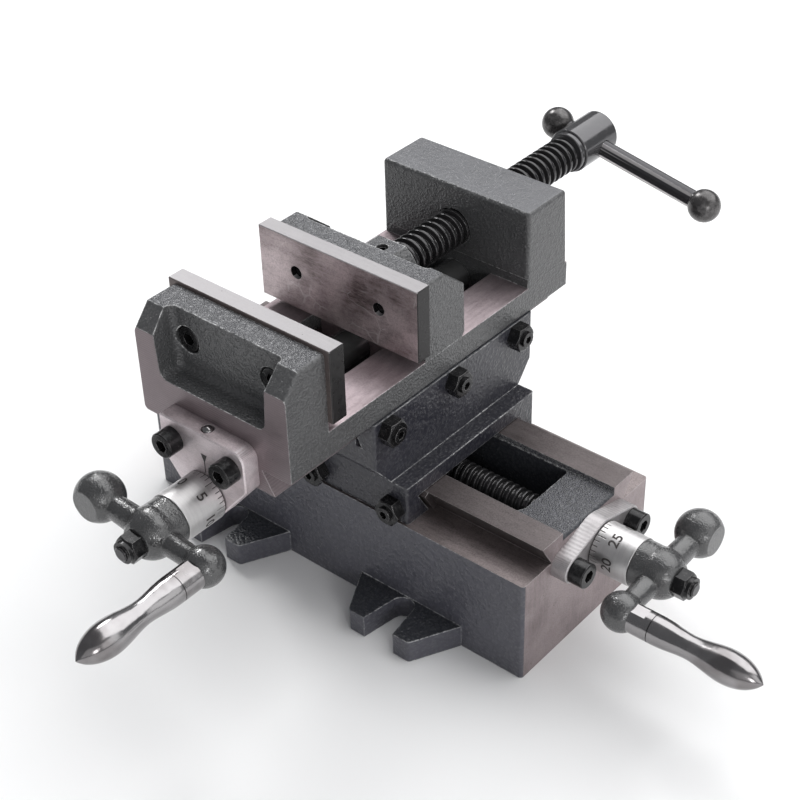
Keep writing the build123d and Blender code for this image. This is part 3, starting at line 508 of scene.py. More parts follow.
@dataclass(frozen=True)
class BlackOxide(Finish):
    """Oiled black oxide on steel, glossy, with lighter edges where the oxide has come off.

    A piece with streak_tilt set has light streaks along it, a painted reflection of the lamps; streak_tilt is
    their tilt from X towards -Z, in degrees.
    """

    body: Colour = (0.016, 0.016, 0.017)
    # lighter colour for edges where the oxide has come off, and for painted reflection streaks
    rubbed_and_streak: Colour = (0.26, 0.25, 0.25)
    roughness: float = 0.21
    mottle: float = 0.10
    edge: float = 0.0004
    streak_tilt: float = 0.0

    def lay(self, w: Wiring) -> dict:
        """Deep black with a little mottling, painted reflection streaks and lighter edges where the oxide has
        come off.
        """
        where = w.where()
        cloud = w.noise(where, 300.0, 4.0, 0.6)
        fine = w.noise(where, 1900.0)
        wear = edge_wear(w, Radius=self.edge, Breakup=0.6)
        tone = w.blend(w.span(cloud, 0.45, 0.75, 0.0, self.mottle), self.body, self.rubbed_and_streak)
        # painted reflection: light streaks along the piece stand in for reflections of the lamps
        if self.streak_tilt:
            fed = {"Vector": where, "Angle": -math.radians(self.streak_tilt)}
            along = w.add("ShaderNodeVectorRotate", fed, rotation_type="Y_AXIS").outputs[0]
            lines = w.noise(w.vector("MULTIPLY", along, (5.0, 430.0, 430.0)), 1.0, 2.0, 0.5)
            tone = w.blend(w.span(lines, 0.50, 0.60, 0.0, 0.9), tone, tint(self.rubbed_and_streak, 1.8))
        return {
            "Base Color": w.blend(w.times(wear["Mask"], 0.6), tone, self.rubbed_and_streak),
            "Roughness": w.span(cloud, 0.3, 0.7, self.roughness - 0.05, self.roughness + 0.09),
            "Normal": w.bump(fine, 0.10, 0.00002, wear["Normal"]),
            "Metallic": 0.6,
        }


@dataclass(frozen=True)
class HammeredPaint(Finish):
    """Dark grey crank paint, glossy over small dimples."""

    body: Colour = (0.037, 0.037, 0.038)
    roughness: float = 0.15

    def lay(self, w: Wiring) -> dict:
        """Dimples, a little tone change, dimple tops lightened as partly painted glint, and a sharp gloss."""
        skin = cast_skin(w, Scale=1500.0, Bumps=1.0, Waves=0.3, Grit=0.1)
        wear = edge_wear(w, Radius=0.0014)
        tone = w.blend(skin["Shade"], tint(self.body, 0.8), tint(self.body, 1.5))
        return {
            # partly painted highlight: the dimple tops are lightened towards grey
            "Base Color": w.blend(w.times(skin["Tops"], 0.2), tone, (0.2, 0.2, 0.2)),
            "Roughness": w.span(skin["Shade"], 0.2, 0.8, self.roughness - 0.04, self.roughness + 0.08),
            "Normal": w.bump(skin["Height"], 0.8, 0.00015, wear["Normal"]),
            "Specular IOR Level": 0.9,
        }


@dataclass(frozen=True)
class Chrome(Finish):
    """Polished chrome with brownish patches of painted dark reflection, polishing haze and slight waves."""

    def lay(self, w: Wiring) -> dict:
        """A bright metal with changes of haze, brownish patches of painted dark reflection and hand-polished
        waves.
        """
        where = w.where()
        haze = w.noise(where, 90.0, 3.0, 0.5)
        waves = w.noise(where, 160.0, 1.0, 0.4)
        # painted reflection: brownish darker patches stand in for dark reflections in the chrome
        dark_reflection = w.span(w.noise(where, 42.0, 3.0, 0.6), 0.42, 0.62, 0.0, 0.55)
        tone = w.blend(haze, (0.24, 0.232, 0.235), (0.36, 0.35, 0.354))
        flat = w.add("ShaderNodeNewGeometry").outputs["Normal"]
        return {
            "Base Color": w.blend(dark_reflection, tone, (0.145, 0.13, 0.13)),
            "Roughness": w.span(haze, 0.3, 0.7, 0.15, 0.24),
            "Normal": w.bump(waves, 0.45, 0.0005, flat),
            "Metallic": 1.0,
        }


@dataclass(frozen=True)
class Ink(Finish):
    """Black filling of stamped marks."""

    def lay(self, w: Wiring) -> dict:
        """Nearly black, a little uneven."""
        uneven = w.noise(w.where(), 2500.0)
        tone = w.blend(uneven, (0.012, 0.010, 0.010), (0.06, 0.05, 0.05))
        return {"Base Color": tone, "Roughness": 0.6}


class Finishes:
    """Every finish of the vise."""

    paint = CastPaint("casting_paint")
    paint_blue = CastPaint("casting_paint_blue", (0.060, 0.060, 0.074), pebble=520.0, bumps=0.6, waves=1.1)
    paint_saddle = CastPaint("casting_paint_saddle", (0.019, 0.019, 0.026), pebble=620.0, bumps=0.6)
    # painted light: lighter copies of the body paint for the jaws' tops, the fixed jaw's rim and the rear
    # block's top, which face the lamps; their skin and edge settings differ as well
    paint_top_lit = CastPaint(
        "casting_paint_pebbled", (0.094, 0.095, 0.102), roughness=0.26, pebble=1150.0, relief=0.00095,
        tops=0.5, wear=1.6,
    )
    paint_rim_lit = CastPaint("casting_paint_rim", (0.070, 0.0705, 0.0725), relief=0.00050, wear=1.6)
    paint_block_lit = CastPaint(
        "casting_paint_block", (0.104, 0.105, 0.113), pebble=1250.0, relief=0.00030, tops=0.22, wear=0.9,
    )
    rough_cast = CastPaint(
        "rough_cast_face", (0.080, 0.081, 0.093), roughness=0.25, pebble=1500.0, bumps=1.5, waves=0.4,
        relief=0.00110, tops=1.0,
    )
    # painted shade: a dark copy of the paint for the base's channel, the ears' tops and the saddle's top
    # beside the body, where shade falls
    shaded_cast = CastPaint("channel_paint", (0.028, 0.030, 0.036), pebble=650.0, tops=0.1)
    ground_along_x = GroundSteel("ground_face_x", (0.14, 0.122, 0.122), (0.065, 0.053, 0.053), grain=0.6)
    # painted light: a lighter copy of the dovetail's ground finish for the flats beside it, which lie in its
    # shade
    ground_flat = GroundSteel("ground_flat", (0.27, 0.232, 0.23), (0.13, 0.107, 0.107), grain=0.6)
    ground_end = GroundSteel("ground_end", (0.36, 0.305, 0.31), (0.14, 0.11, 0.112), (2600.0, 2600.0, 300.0))
    ground_along_y = GroundSteel("ground_face_y", (0.44, 0.37, 0.39), across=(2600.0, 300.0, 2600.0))
    milled_face = GroundSteel(
        "milled_face", (0.18, 0.15, 0.158), (0.155, 0.126, 0.132), (400.0, 1500.0, 1500.0), rows=250.0,
    )
    # partly painted light: the front bearing plate is much lighter than the milled front face, partly
    # brighter steel, partly to lift it out of the shade under the body
    milled_plate = GroundSteel(
        "milled_plate", (0.70, 0.61, 0.63), (0.33, 0.27, 0.28), (400.0, 1500.0, 1500.0), rows=520.0,
    )
    milled_end_plate = GroundSteel(
        "milled_end_plate", (0.40, 0.385, 0.39), (0.25, 0.235, 0.24), (1500.0, 1500.0, 400.0), rows=520.0,
    )
    jaw_face = GroundSteel(
        "jaw_face", (0.56, 0.48, 0.49), (0.095, 0.068, 0.068), (400.0, 2600.0, 1900.0), cloud=1.0,
        scratches=0.22,
    )
    plate_steel = GroundSteel(
        "plate_steel", (0.335, 0.323, 0.33), (0.29, 0.277, 0.285), cloud=0.35, grain=0.12, roughness=0.5,
        metallic=0.4,
    )
    plate_back = GroundSteel("plate_back", (0.15, 0.125, 0.12), (0.07, 0.055, 0.055), metallic=0.5)
    plate_end = BlackOxide("plate_end", (0.016, 0.015, 0.0155), rubbed_and_streak=(0.10, 0.095, 0.097), roughness=0.30)
    dial_satin = GroundSteel(
        "dial_satin", (0.56, 0.55, 0.55), (0.42, 0.41, 0.41), (5200.0, 220.0, 220.0), cloud=0.25, specks=0.0,
        grain=0.08, metallic=1.0, edge=0.2, depth=0.000004,
    )
    dial_satin_y = replace(dial_satin, name="dial_satin_y", across=(220.0, 5200.0, 220.0))
    black = BlackOxide("black_oxide")
    black_bright = BlackOxide("black_bright", (0.042, 0.041, 0.043), roughness=0.13, mottle=0.06)
    black_polished = BlackOxide("black_polished", (0.095, 0.094, 0.098), roughness=0.12, mottle=0.05)
    # painted reflection: the tommy bar's finish carries light streaks along it
    black_drawn = BlackOxide("black_drawn", (0.055, 0.054, 0.058), roughness=0.12, mottle=0.0, streak_tilt=BAR_TILT)
    rod_steel = BlackOxide("rod_steel", (0.15, 0.15, 0.15), rubbed_and_streak=(0.4, 0.4, 0.4), roughness=0.14)
    black_ball = BlackOxide("black_ball", (0.075, 0.072, 0.072), mottle=0.35, roughness=0.24)
    crank = HammeredPaint("crank_paint")
    chrome = Chrome("bright_chrome")
    bronze = GroundSteel("bronze", (0.52, 0.36, 0.16), (0.36, 0.24, 0.10), metallic=1.0)
    ink = Ink("stamped_ink")


class Dresser:
    """Gives finishes to whole pieces or to faces by their place."""

    @staticmethod
    def whole(piece: Piece, finish: Finish) -> None:
        """Gives one finish to all of a piece."""
        Dresser.faces(piece, lambda c, n: finish)

    @staticmethod
    def each(nodes: dict, names: Sequence[str], finish: Finish) -> None:
        """Gives one finish to several nodes."""
        for name in names:
            Dresser.whole(nodes[name], finish)

    @staticmethod
    def faces(piece: Piece, rule: Callable[[Vector, Vector], Finish]) -> None:
        """Gives a finish to each face.

        Args:
            piece: a CAD node or a new piece.
            rule: takes a face's centre in millimetres and its normal, and returns its finish.
        """
        used: list[Finish] = []
        piece.data.materials.clear()
        for face in piece.data.polygons:
            finish = rule(face.center / MM, face.normal)
            if finish not in used:
                used.append(finish)
                piece.data.materials.append(finish.material())
            face.material_index = used.index(finish)
        log.info("%s: %s", piece.name, ", ".join(finish.name for finish in used))


# -------- sub-assemblies


@dataclass
class BaseUnit:
    """The base casting with its dovetail, channel and clamping ears."""

    flat_z: float = 59.5
    top_z: float = 72.5
    cast_z: float = 69.5
    half_x: float = 124.5
    channel_y: float = 22.0
    channel_z: float = 5.0
    ears_y: float = 52.4
    dovetail_y: float = 25.0

    def dress(self, nodes: dict, fin: Finishes) -> None:
        """Paints the casting and leaves its slideways, ends and underside bare."""

        def rule(c: Vector, n: Vector) -> Finish:
            """The ground, milled and cast faces of the base."""
            inside = abs(c.y) < self.channel_y
            if abs(n.x) > 0.99 and abs(c.x) > self.half_x - 0.1:
                return fin.ground_end
            # painted light: the flats take a lighter copy of the ground finish
            if n.z > 0.99 and abs(c.z - self.flat_z) < 0.1:
                return fin.ground_flat
            if n.z > 0.99 and c.z > self.top_z - 0.1:
                return fin.ground_along_x
            if inside and c.z > self.cast_z - 0.2:
                return fin.rough_cast
            # painted shade: the channel below its cast band and the ears' tops take a dark copy of the paint
            if inside and c.z > self.channel_z or abs(c.y) > self.ears_y and n.z > 0.9:
                return fin.shaded_cast
            if c.z > self.flat_z and abs(c.y) > self.dovetail_y and abs(n.x) < 0.5:
                return fin.ground_along_x
            return fin.ground_along_x if n.z < -0.99 and c.z < 0.1 else fin.paint_blue

        Dresser.faces(nodes["base_casting"], rule)
        Dresser.whole(nodes["x_bearing_plate"], fin.milled_end_plate)
        Dresser.each(nodes, ("x_plate_screw_front", "x_plate_screw_rear"), fin.black)


@dataclass
class SaddleUnit:
    """The saddle with its gibs, gib screws, lock nuts and feed nuts."""

    ceiling_z: float = 73.0
    slot_floor_z: float = 108.7
    slot_half: float = 46.0
    top_z: float = 121.4
    foot_z: float = 59.7

    def dress(self, nodes: dict, fin: Finishes) -> None:
        """Paints the casting, bares its slots, and blackens the fasteners."""

        def rule(c: Vector, n: Vector) -> Finish:
            """The slots, top and foot of the saddle."""
            # painted shade: the saddle's top, seen only as a strip beside the body, takes a dark copy of the
            # paint
            if n.z > 0.99 and c.z > self.top_z:
                return fin.shaded_cast
            lower_slot = c.z < self.ceiling_z + 0.1 and abs(c.y) < self.slot_half and abs(n.x) < 0.5
            in_upper = abs(c.x - CENTRE_X) < self.slot_half and abs(n.y) < 0.5
            upper_slot = c.z > self.slot_floor_z - 0.1 and in_upper
            foot = n.z < -0.99 and c.z < self.foot_z
            return fin.milled_face if lower_slot or upper_slot or foot else fin.paint_saddle

        Dresser.faces(nodes["saddle_casting"], rule)
        Dresser.whole(nodes["x_gib"], fin.ground_along_x)
        Dresser.whole(nodes["y_gib"], fin.ground_along_y)
        for name, node in nodes.items():
            if "gib_screw" in name or "gib_nut" in name or "nut_screw" in name:
                Dresser.whole(node, fin.black)
            if name.endswith("feed_nut"):
                Dresser.whole(node, fin.bronze)


@dataclass
class ViseUnit:
    """The vise body, its guide rod and front bearing plate, and both jaw plates."""

    ways_z: float = 135.8
    front_y: float = -117.0
    foot_z: float = 121.4
    channel_half: float = 20.0
    block_z: float = 170.0
    rim_y: float = -91.5
    rim_z: float = 136.0

    def dress(self, nodes: dict, fin: Finishes) -> None:
        """Paints the body, bares its ways, front face and dovetail, and dresses what is fitted to it."""

        def rule(c: Vector, n: Vector) -> Finish:
            """The ways, front, dovetail, tops and rim of the body."""
            if n.y < -0.99 and c.y < self.front_y + 0.1:
                return fin.milled_face
            if n.z > 0.99 and abs(c.z - self.ways_z) < 0.1:
                return fin.ground_along_y
            beside = abs(c.x - CENTRE_X) > self.channel_half or n.z < -0.9
            if c.z < self.foot_z + 0.05 and beside and abs(n.y) < 0.5:
                return fin.milled_face
            if abs(n.y) > 0.99 and c.z < self.foot_z:
                return fin.milled_face
            if n.z < -0.999 and c.z < self.foot_z + 0.12:
                return fin.ground_along_y
            # painted light: top faces and, below, the fixed jaw's rim take lighter copies of the paint
            if n.z > 0.9 and c.z > self.block_z:
                return fin.paint_top_lit if c.y < 0 else fin.paint_block_lit
            rim = c.y < self.rim_y and c.z > self.rim_z and abs(n.x) < 0.9
            return fin.paint_rim_lit if rim else fin.paint

        Dresser.faces(nodes["vise_body_casting"], rule)
        self.dress_plate(nodes["fixed_jaw_plate"], fin, True)
        self.dress_plate(nodes["movable_jaw_plate"], fin, False)
        # partly painted light: the bearing plate takes a lightened milled finish
        Dresser.whole(nodes["y_bearing_plate"], fin.milled_plate)
        screws = [f"{part}_screw_{side}" for part in ("fixed_jaw", "y_plate") for side in ("left", "right")]
        Dresser.each(nodes, screws, fin.black)
        Dresser.whole(nodes["guide_rod"], fin.rod_steel)
        Dresser.whole(nodes["oil_ball"], fin.chrome)

    @staticmethod
    def dress_plate(plate: Piece, fin: Finishes, backed: bool) -> None:
        """Dresses a jaw plate's face, ends and edges.

        Args:
            plate: the plate's node.
            fin: the finishes.
            backed: whether its side towards -Y is a dull back.
        """

        def rule(c: Vector, n: Vector) -> Finish:
            """The plate's ends, back and gripping face."""
            if abs(n.x) > 0.6:
                return fin.plate_end
            if backed and n.y < -0.6:
                return fin.plate_back
            return fin.jaw_face if abs(n.y) > 0.8 else fin.plate_steel

        Dresser.faces(plate, rule)


@dataclass
class IndexMark:
    """The pointer on the front plate that the dial is read against."""

    at: tuple[float, float] = (-3.1, 120.8)
    half_width: float = 1.9
    height: float = 5.0
    stem_end: float = 112.0
    stem_width: float = 0.6
    thickness: float = 0.12
    lip: float = 0.1
    rise: float = 0.02
    ease: float = 0.04
    face_y: float = -126.2

    def make(self, fin: Finishes) -> None:
        """Builds the pointer from a three-sided wedge with an inset face, and a bevelled stem, both inked."""
        x, z = self.at
        bpy.ops.mesh.primitive_cylinder_add(vertices=3, radius=MM, depth=self.thickness * MM)
        wedge = bpy.context.object
        Bench.edit()
        # A triangle in a circle of radius 1 is 2 sin 60 degrees wide and 1.5 high.
        size = (self.half_width / math.sin(math.radians(60)), self.height / 1.5, 1)
        bpy.ops.transform.resize(value=size, center_override=(0, 0, 0))
        Bench.pick(wedge, lambda c, n: n.z > 0.9)
        bpy.ops.mesh.inset(thickness=self.lip * MM, depth=self.rise * MM)
        Bench.mode("OBJECT")
        Bench.put(wedge, Matrix.Rotation(math.pi, 4, "Z"))
        top = z - self.height / 2
        size = (self.stem_width, top - self.stem_end, self.thickness)
        bpy.ops.mesh.primitive_cube_add(size=MM, scale=size)
        stem = bpy.context.object
        Bench.settle()
        Bench.mode("EDIT")
        Bench.pick(stem, lambda c, n: n.z > 0.9)
        bpy.ops.mesh.bevel(offset=self.ease * MM, segments=1, affect="EDGES")
        Bench.mode("OBJECT")
        Bench.put(stem, Matrix.Translation((0, ((top + self.stem_end) / 2 - z) * MM, 0)))
        mark = Bench.join([wedge, stem], "y_index_mark")
        Bench.put(mark, place(Heading.ALONG_MINUS_Y, x, self.face_y, z))
        Dresser.whole(mark, fin.ink)
        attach(mark, "vise_body")


@dataclass
class JawUnit:
    """The movable jaw's casting and its screws."""

    ways_z: float = 135.7
    top_z: float = 168.0

    def dress(self, nodes: dict, fin: Finishes) -> None:
        """Paints the jaw casting and blackens its screws."""

        def rule(c: Vector, n: Vector) -> Finish:
            """The underside and top of the jaw."""
            if n.z < -0.99 or c.z < self.ways_z:
                return fin.ground_along_y
            # painted light: the jaw's top takes a lighter copy of the paint
            return fin.paint_top_lit if n.z > 0.9 and c.z > self.top_z else fin.paint

        Dresser.faces(nodes["movable_jaw_casting"], rule)
        screws = ("movable_jaw_screw_left", "movable_jaw_screw_right", "jaw_set_screw")
        Dresser.each(nodes, screws, fin.black)


@dataclass
class Spindle:
    """A threaded spindle: turned journals joined to a right-hand thread.

    Every section is a start, an end and a radius along the axis, in millimetres.
    """

    name: str
    frame: Matrix
    thread: tuple[float, float, float]
    sections: Sequence[tuple[float, float, float]]
    pitch: float = 4.0
    root_share: float = 0.5
    crown: float = 0.12
    ease: float = 0.5
    steps: int = 32

    @staticmethod
    def ridges(start: float, end: float, radius: float = 4.0, pitch: float = 1.25) -> tuple:
        """Lists the close ridges of a fine-threaded stud end."""
        count = int((end - start) / pitch)
        return tuple((start + k * pitch, start + (k + 0.62) * pitch, radius) for k in range(count))

    def helix(self) -> Piece:
        """Screws one tooth's profile along the axis and cuts both ends square.

        Returns:
            The threaded length as a closed piece.
        """
        start, end, crest = self.thread
        root = crest - self.pitch * self.root_share
        turns = math.ceil((end - start) / self.pitch) + 2
        low = start - self.pitch
        shoulder = crest - self.crown
        tooth = (
            (0.0, root), (0.30, root), (0.42, shoulder), (0.47, crest),
            (0.71, crest), (0.76, shoulder), (0.88, root), (1.0, root),
        )
        piece = Bench.draw(self.name, [(r, low + share * self.pitch) for share, r in tooth])
        Bench.mode("OBJECT")
        Bench.apply(
            piece, "SCREW", angle=2 * math.pi, screw_offset=self.pitch * MM, iterations=turns, axis="Z",
            steps=self.steps, render_steps=self.steps, use_merge_vertices=True, merge_threshold=MERGE,
            use_smooth_shade=False,
        )
        Bench.mode("EDIT")
        for height, way in ((start, -1), (end, 1)):
            Bench.take_all()
            bpy.ops.mesh.bisect(
                plane_co=(0, 0, height * MM), plane_no=(0, 0, way), use_fill=True, clear_outer=True,
            )
        Bench.take_all()
        bpy.ops.mesh.normals_make_consistent(inside=False)
        Bench.mode("OBJECT")
        return piece

    def whole(self) -> Piece:
        """Joins the thread and the journals, along local Z, and returns them."""
        parts = [self.helix()]
        for start, end, radius in self.sections:
            ease = min(self.ease, (end - start) / 4)
            outline = [(0, start), (radius - ease, start), (radius, start + ease)]
            outline += [(radius, end - ease), (radius - ease, end), (0, end)]
            parts.append(Bench.turned(f"{self.name}_turned", outline))
        return Bench.join(parts, self.name)

    def set_in(self, piece: Piece) -> None:
        """Lays the whole spindle in its place and shades it."""
        Bench.put(piece, self.frame)
        Bench.smooth(piece)


@dataclass
class Dial:
    """A numbered collar with thirty divisions, engraved and filled."""

    name: str
    frame: Matrix
    zero_at: float
    length: float = 21.4
    radius: float = 12.75
    bore: float = 6.1
    ease: float = 0.35
    short_mark: float = 3.2
    long_mark: float = 5.4
    engraving: float = 0.15
    figure_height: float = 5.2
    figure_at: float = 10.3
    boldness: float = 0.13
    skin: float = 0.04
    slices: int = 180

    def collar(self) -> Piece:
        """Turns the collar and cuts its divisions inwards.

        Returns:
            The collar, along local Z.
        """
        bpy.ops.mesh.primitive_cylinder_add(
            vertices=self.slices, radius=self.radius * MM, depth=self.length * MM,
            end_fill_type="NGON", location=(0, 0, self.length / 2 * MM),
        )
        piece = bpy.context.object
        piece.name = self.name
        Bench.settle()
        Bench.mode("EDIT")
        Bench.pick(piece, lambda c, n: abs(n.z) > 0.9)
        bpy.ops.mesh.bevel(offset=self.ease * MM, segments=2, affect="EDGES")
        Bench.pick(piece, lambda c, n: abs(n.z) > 0.999)
        bpy.ops.mesh.inset(thickness=(self.radius - self.ease - self.bore) * MM, use_individual=True)
        bpy.ops.mesh.delete(type="FACE")
        bpy.ops.mesh.select_mode(type="EDGE")
        bpy.ops.mesh.select_all(action="DESELECT")
        bpy.ops.mesh.select_non_manifold(extend=False)
        bpy.ops.mesh.bridge_edge_loops()
        for height in (self.short_mark, self.long_mark):
            Bench.take_all()
            bpy.ops.mesh.bisect(plane_co=(0, 0, height * MM), plane_no=(0, 0, 1))
        step = 360 / self.slices
        division, number = self.slices // 30, self.slices // 6

        def marked(c: Vector, n: Vector) -> bool:
            """Whether a face lies in one of the divisions."""
            slot = int(round((math.degrees(math.atan2(c.y, c.x)) - step / 2) / step)) % self.slices
            outside = math.hypot(c.x, c.y) > self.radius - 0.1 and abs(n.z) < 0.1
            reach = self.long_mark if slot % number == 0 else self.short_mark
            return outside and slot % division == 0 and c.z < reach

        Bench.pick(piece, marked)
        bpy.ops.mesh.inset(thickness=0.02 * MM, depth=-self.engraving * MM, use_individual=False)
        Bench.mode("OBJECT")
        return piece

    def figure(self, text: str, angle: float, collar: Piece) -> Piece:
        """Sets one number on the collar, its top towards the bearing plate.

        Args:
            text: the digits.
            angle: where it stands round the collar, in degrees.
            collar: the collar that it is wrapped on.

        Returns:
            The number as a thin mesh, in the collar's own place.
        """
        bpy.ops.object.text_add()
        word = bpy.context.object
        word.data.body = text
        word.data.size = self.figure_height * 1.42 * MM  # the font's digits are 1 / 1.42 of its size high
        word.data.align_x = "CENTER"
        word.data.align_y = "CENTER"
        word.data.offset = self.boldness * MM
        bpy.ops.object.convert(target="MESH")
        word = bpy.context.object
        word.name = f"{self.name}_figure_{text}"
        Bench.edit()
        bpy.ops.mesh.quads_convert_to_tris()
        bpy.ops.mesh.subdivide(number_cuts=2)
        Bench.mode("OBJECT")
        out = Vector((math.cos(math.radians(angle)), math.sin(math.radians(angle)), 0))
        up = Vector((0, 0, -1))
        side = up.cross(out)
        turn = Matrix((side, up, out)).transposed().to_4x4()
        spot = out * (self.radius + 1.5) + Vector((0, 0, self.figure_at))
        word.matrix_world = Matrix.Translation(spot * MM) @ turn
        bpy.context.view_layer.update()
        Bench.apply(
            word, "SHRINKWRAP", target=collar, wrap_method="PROJECT", use_project_z=True,
            use_negative_direction=True, use_positive_direction=False, offset=self.skin * MM,
        )
        Bench.settle()
        return word

    def make(self, fin: Finishes, satin: Finish) -> tuple[Piece, Piece]:
        """Makes the collar and its numbers.

        Args:
            fin: the finishes.
            satin: the collar's finish.

        Returns:
            The collar and the joined numbers, both in place.
        """
        collar = self.collar()
        words = [self.figure(str(5 * k), self.zero_at - 60.0 * k, collar) for k in range(6)]
        digits = Bench.join(words, f"{self.name}_figures")
        Dresser.whole(digits, fin.ink)

        def rule(c: Vector, n: Vector) -> Finish:
            """Ink on the sunk marks, and black on the edge beside the bearing plate as painted shade in the
            gap there.
            """
            sunk = self.bore + 2 < math.hypot(c.x, c.y) < self.radius - 0.12 and abs(n.z) < 0.5
            # painted shade: the end beside the bearing plate is inked black
            return fin.ink if c.z < self.ease + 0.01 or sunk and 0.4 < c.z < self.long_mark + 0.2 else satin

        Dresser.faces(collar, rule)
        Bench.put(collar, self.frame)
        Bench.put(digits, self.frame)
        Bench.smooth(collar, 20)
        return collar, digits


@dataclass
class Feed:
    """One feed: lead screw, dial, ball crank, nut and turning grip."""

    letter: str
    spindle: Spindle
    dial: Dial
    satin: Finish

    def make(self, nodes: dict, fin: Finishes) -> None:
        """Builds the thread and the dial and dresses the rest."""
        body = f"{self.letter}_screw"
        rod = self.spindle.whole()
        self.spindle.set_in(rod)
        Dresser.whole(rod, fin.black_bright)
        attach(rod, body)
        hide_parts(f"{self.letter}_leadscrew")
        collar, digits = self.dial.make(fin, self.satin)
        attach(collar, body)
        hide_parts(f"{self.letter}_dial")
        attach(digits, body)
        looks = {"crank": fin.crank, "crank_nut": fin.black, "grip_stud": fin.chrome, "grip": fin.chrome}
        for part, finish in looks.items():
            Dresser.whole(nodes[f"{self.letter}_{part}"], finish)


@dataclass
class ClampScrew:
    """The vise screw with its cross-drilled head, and the tommy bar."""

    spindle: Spindle
    hole_at: float = -176.3
    hole_radius: float = 5.1
    drill: float = 60.0
    head_y: float = 155.0

    def make(self, nodes: dict, fin: Finishes) -> None:
        """Builds the screw, drills its head and dresses the bar and its balls."""
        rod = self.spindle.whole()
        bpy.ops.mesh.primitive_cylinder_add(
            vertices=FLATS, radius=self.hole_radius * MM, depth=self.drill * MM,
        )
        drill = bpy.context.object
        tilt = math.radians(BAR_TILT)
        across = Vector((math.cos(tilt), -math.sin(tilt), 0))
        turn = across.to_track_quat("Z", "Y").to_matrix().to_4x4()
        drill.matrix_world = Matrix.Translation((0, 0, self.hole_at * MM)) @ turn
        bpy.context.view_layer.update()
        Bench.apply(rod, "BOOLEAN", object=drill, operation="DIFFERENCE", solver="EXACT")
        bpy.data.objects.remove(drill)
        self.spindle.set_in(rod)
        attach(rod, "clamp_screw")
        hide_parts("vise_screw")
        Dresser.faces(rod, lambda c, n: fin.black_polished if c.y > self.head_y else fin.black_bright)
        # painted reflection streaks along the tommy bar
        Dresser.whole(nodes["tommy_bar"], fin.black_drawn)
        Dresser.each(nodes, ("tommy_ball_inner", "tommy_ball_outer"), fin.black_ball)


# -------- studio


@dataclass
class Studio:
    """Floor, soft lights and the camera at the photograph's angle."""

    azimuth: float = 39.503
    elevation: float = 36.699
    roll: float = -0.806
    eye: tuple = (468.61, -532.421, 605.735)
    lens: float = 77.277
    shift: tuple = (-0.043954, 0.006971)
    centre: tuple = (0.0, 0.0, 0.1)

    def camera(self) -> None:
        """Sets the camera where the photograph was taken from."""
        az, el, roll = (math.radians(v) for v in (self.azimuth, self.elevation, self.roll))
        data = bpy.data.cameras.new("camera")
        data.lens = self.lens
        data.sensor_width = 36.0
        data.sensor_fit = "HORIZONTAL"
        data.shift_x, data.shift_y = self.shift
        data.clip_start, data.clip_end = 0.01, 20.0
        camera = bpy.data.objects.new("camera", data)
        turn = Matrix.Rotation(az, 4, "Z") @ Matrix.Rotation(math.pi / 2 - el, 4, "X")
        turn @= Matrix.Rotation(roll, 4, "Z")
        camera.matrix_world = Matrix.Translation(Vector(self.eye) * MM) @ turn
        bpy.context.scene.collection.objects.link(camera)
        bpy.context.scene.camera = camera

    def softbox(self, name: str, at: tuple, size: tuple, power: float) -> None:
        """Hangs a soft area light that faces the vise.

        Args:
            name: the light's name.
            at: where it hangs, in metres.
            size: its width and height, in metres.
            power: its power in watts.
        """
        data = bpy.data.lights.new(name, "AREA")
        data.shape = "RECTANGLE"
        data.size, data.size_y = size
        data.energy = power
        lamp = bpy.data.objects.new(name, data)
        turn = (Vector(self.centre) - Vector(at)).to_track_quat("-Z", "Y")
        lamp.matrix_world = Matrix.Translation(at) @ turn.to_matrix().to_4x4()
        bpy.context.scene.collection.objects.link(lamp)

    def floor(self) -> None:
        """Lays the plain pale floor."""
        bpy.ops.mesh.primitive_plane_add(size=12.0, location=(0, 0, -0.0001))
        floor = bpy.context.object
        floor.name = "studio_floor"
        material = bpy.data.materials.new(floor.name)
        material.use_nodes = True
        pale = {"Base Color": (0.90, 0.90, 0.90), "Roughness": 0.9, "Specular IOR Level": 0.1}
        Wiring(material.node_tree).feed(material.node_tree.nodes["Principled BSDF"], pale)
        floor.data.materials.append(material)

    def build(self) -> None:
        """Builds the floor, the light and the camera."""
        self.floor()
        world = bpy.data.worlds.new("studio_world")
        world.use_nodes = True
        light = {"Color": (0.94, 0.96, 1.0), "Strength": 0.24}
        Wiring(world.node_tree).feed(world.node_tree.nodes["Background"], light)
        bpy.context.scene.world = world
        bpy.context.scene.view_settings.view_transform = "Standard"
        self.softbox("overhead", (0.25, 1.45, 2.3), (4.0, 3.0), 98.0)
        self.softbox("right", (2.0, 0.2, 0.95), (1.4, 1.5), 8.5)
        self.softbox("front_right", (1.70, -0.96, 0.60), (0.45, 0.6), 7.0)
        self.softbox("back_left", (-1.44, 0.62, 1.45), (0.5, 0.5), 17.0)
        self.softbox("front_fill", (0.95, -1.15, 0.80), (1.4, 1.2), 2.6)
        self.camera()


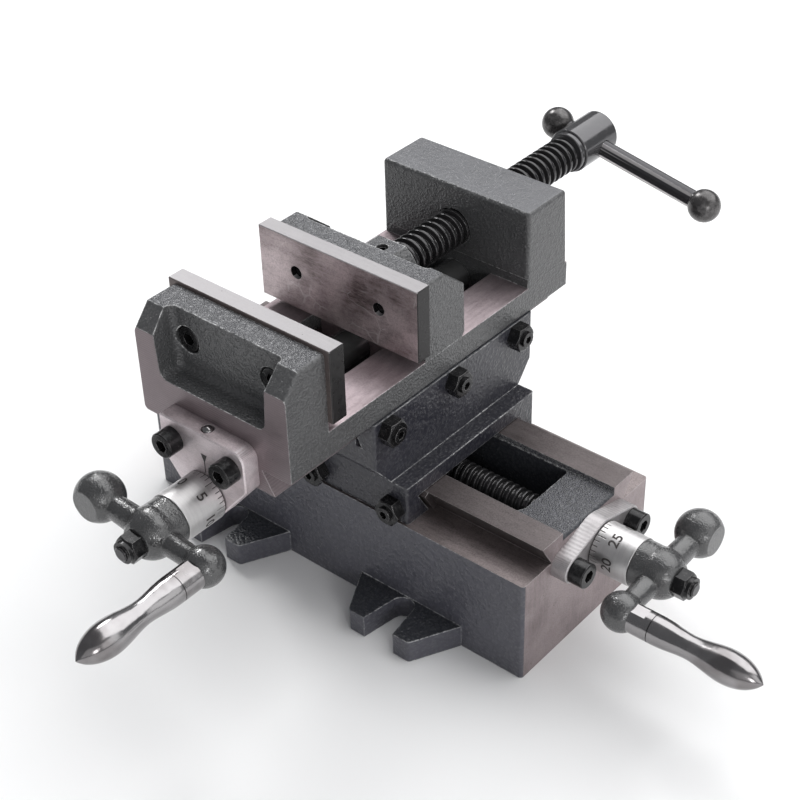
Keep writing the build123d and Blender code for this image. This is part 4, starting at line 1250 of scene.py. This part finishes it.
def main() -> None:
    logging.basicConfig(level=logging.INFO)
    nodes = FRAME["nodes"]
    fin = Finishes()
    BaseUnit().dress(nodes, fin)
    SaddleUnit().dress(nodes, fin)
    ViseUnit().dress(nodes, fin)
    IndexMark().make(fin)
    JawUnit().dress(nodes, fin)
    x_rod = Spindle(
        "x_leadscrew_thread", place(Heading.ALONG_X, 0, 0, X_FEED_Z), (-97, 119, 8.0),
        (
            (-112, -96.9, 6), (118.9, 124.3, 8.4), (119.2, 124.3, 11), (124.2, 155.1, 6), (155, 175.7, 5),
            (175.6, 186.2, 3.55), *Spindle.ridges(176.2, 186.0),
        ),
    )
    y_rod = Spindle(
        "y_leadscrew_thread", place(Heading.ALONG_MINUS_Y, CENTRE_X, 0, Y_FEED_Z), (-62, 111, 8.0),
        (
            (110.9, 116.8, 9.8), (116.7, 149.1, 6), (149.0, 169.7, 5), (169.6, 180.2, 3.55),
            *Spindle.ridges(170.2, 180.0),
        ),
    )
    vise_rod = Spindle(
        "vise_screw_thread", place(Heading.ALONG_MINUS_Y, CENTRE_X, 0, CLAMP_Z), (-156, -11, 10.0),
        (
            (-0.6, 4.5, 7), (-4.7, -0.5, 5.4), (-11.1, -4.6, 7), (-159.1, -155.9, 11.3), (-188, -159, 12.3),
        ),
        pitch=5.0,
    )
    x_dial = Dial("x_dial_collar", place(Heading.ALONG_X, 133.7, 0, X_FEED_Z), zero_at=55.0)
    y_place = place(Heading.ALONG_MINUS_Y, CENTRE_X, -126.4, Y_FEED_Z)
    y_dial = Dial("y_dial_collar", y_place, zero_at=108.0, length=22.7, figure_at=10.1)
    Feed("x", x_rod, x_dial, fin.dial_satin).make(nodes, fin)
    Feed("y", y_rod, y_dial, fin.dial_satin_y).make(nodes, fin)
    ClampScrew(vise_rod).make(nodes, fin)
    Studio().build()


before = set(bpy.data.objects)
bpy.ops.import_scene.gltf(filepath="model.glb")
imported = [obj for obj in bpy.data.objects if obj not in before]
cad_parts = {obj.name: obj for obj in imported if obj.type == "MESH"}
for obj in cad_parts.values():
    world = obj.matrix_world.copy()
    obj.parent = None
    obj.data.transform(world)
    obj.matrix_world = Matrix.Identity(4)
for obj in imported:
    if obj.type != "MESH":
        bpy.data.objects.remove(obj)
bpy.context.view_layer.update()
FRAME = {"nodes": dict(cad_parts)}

if __name__ == "__main__":
    main()
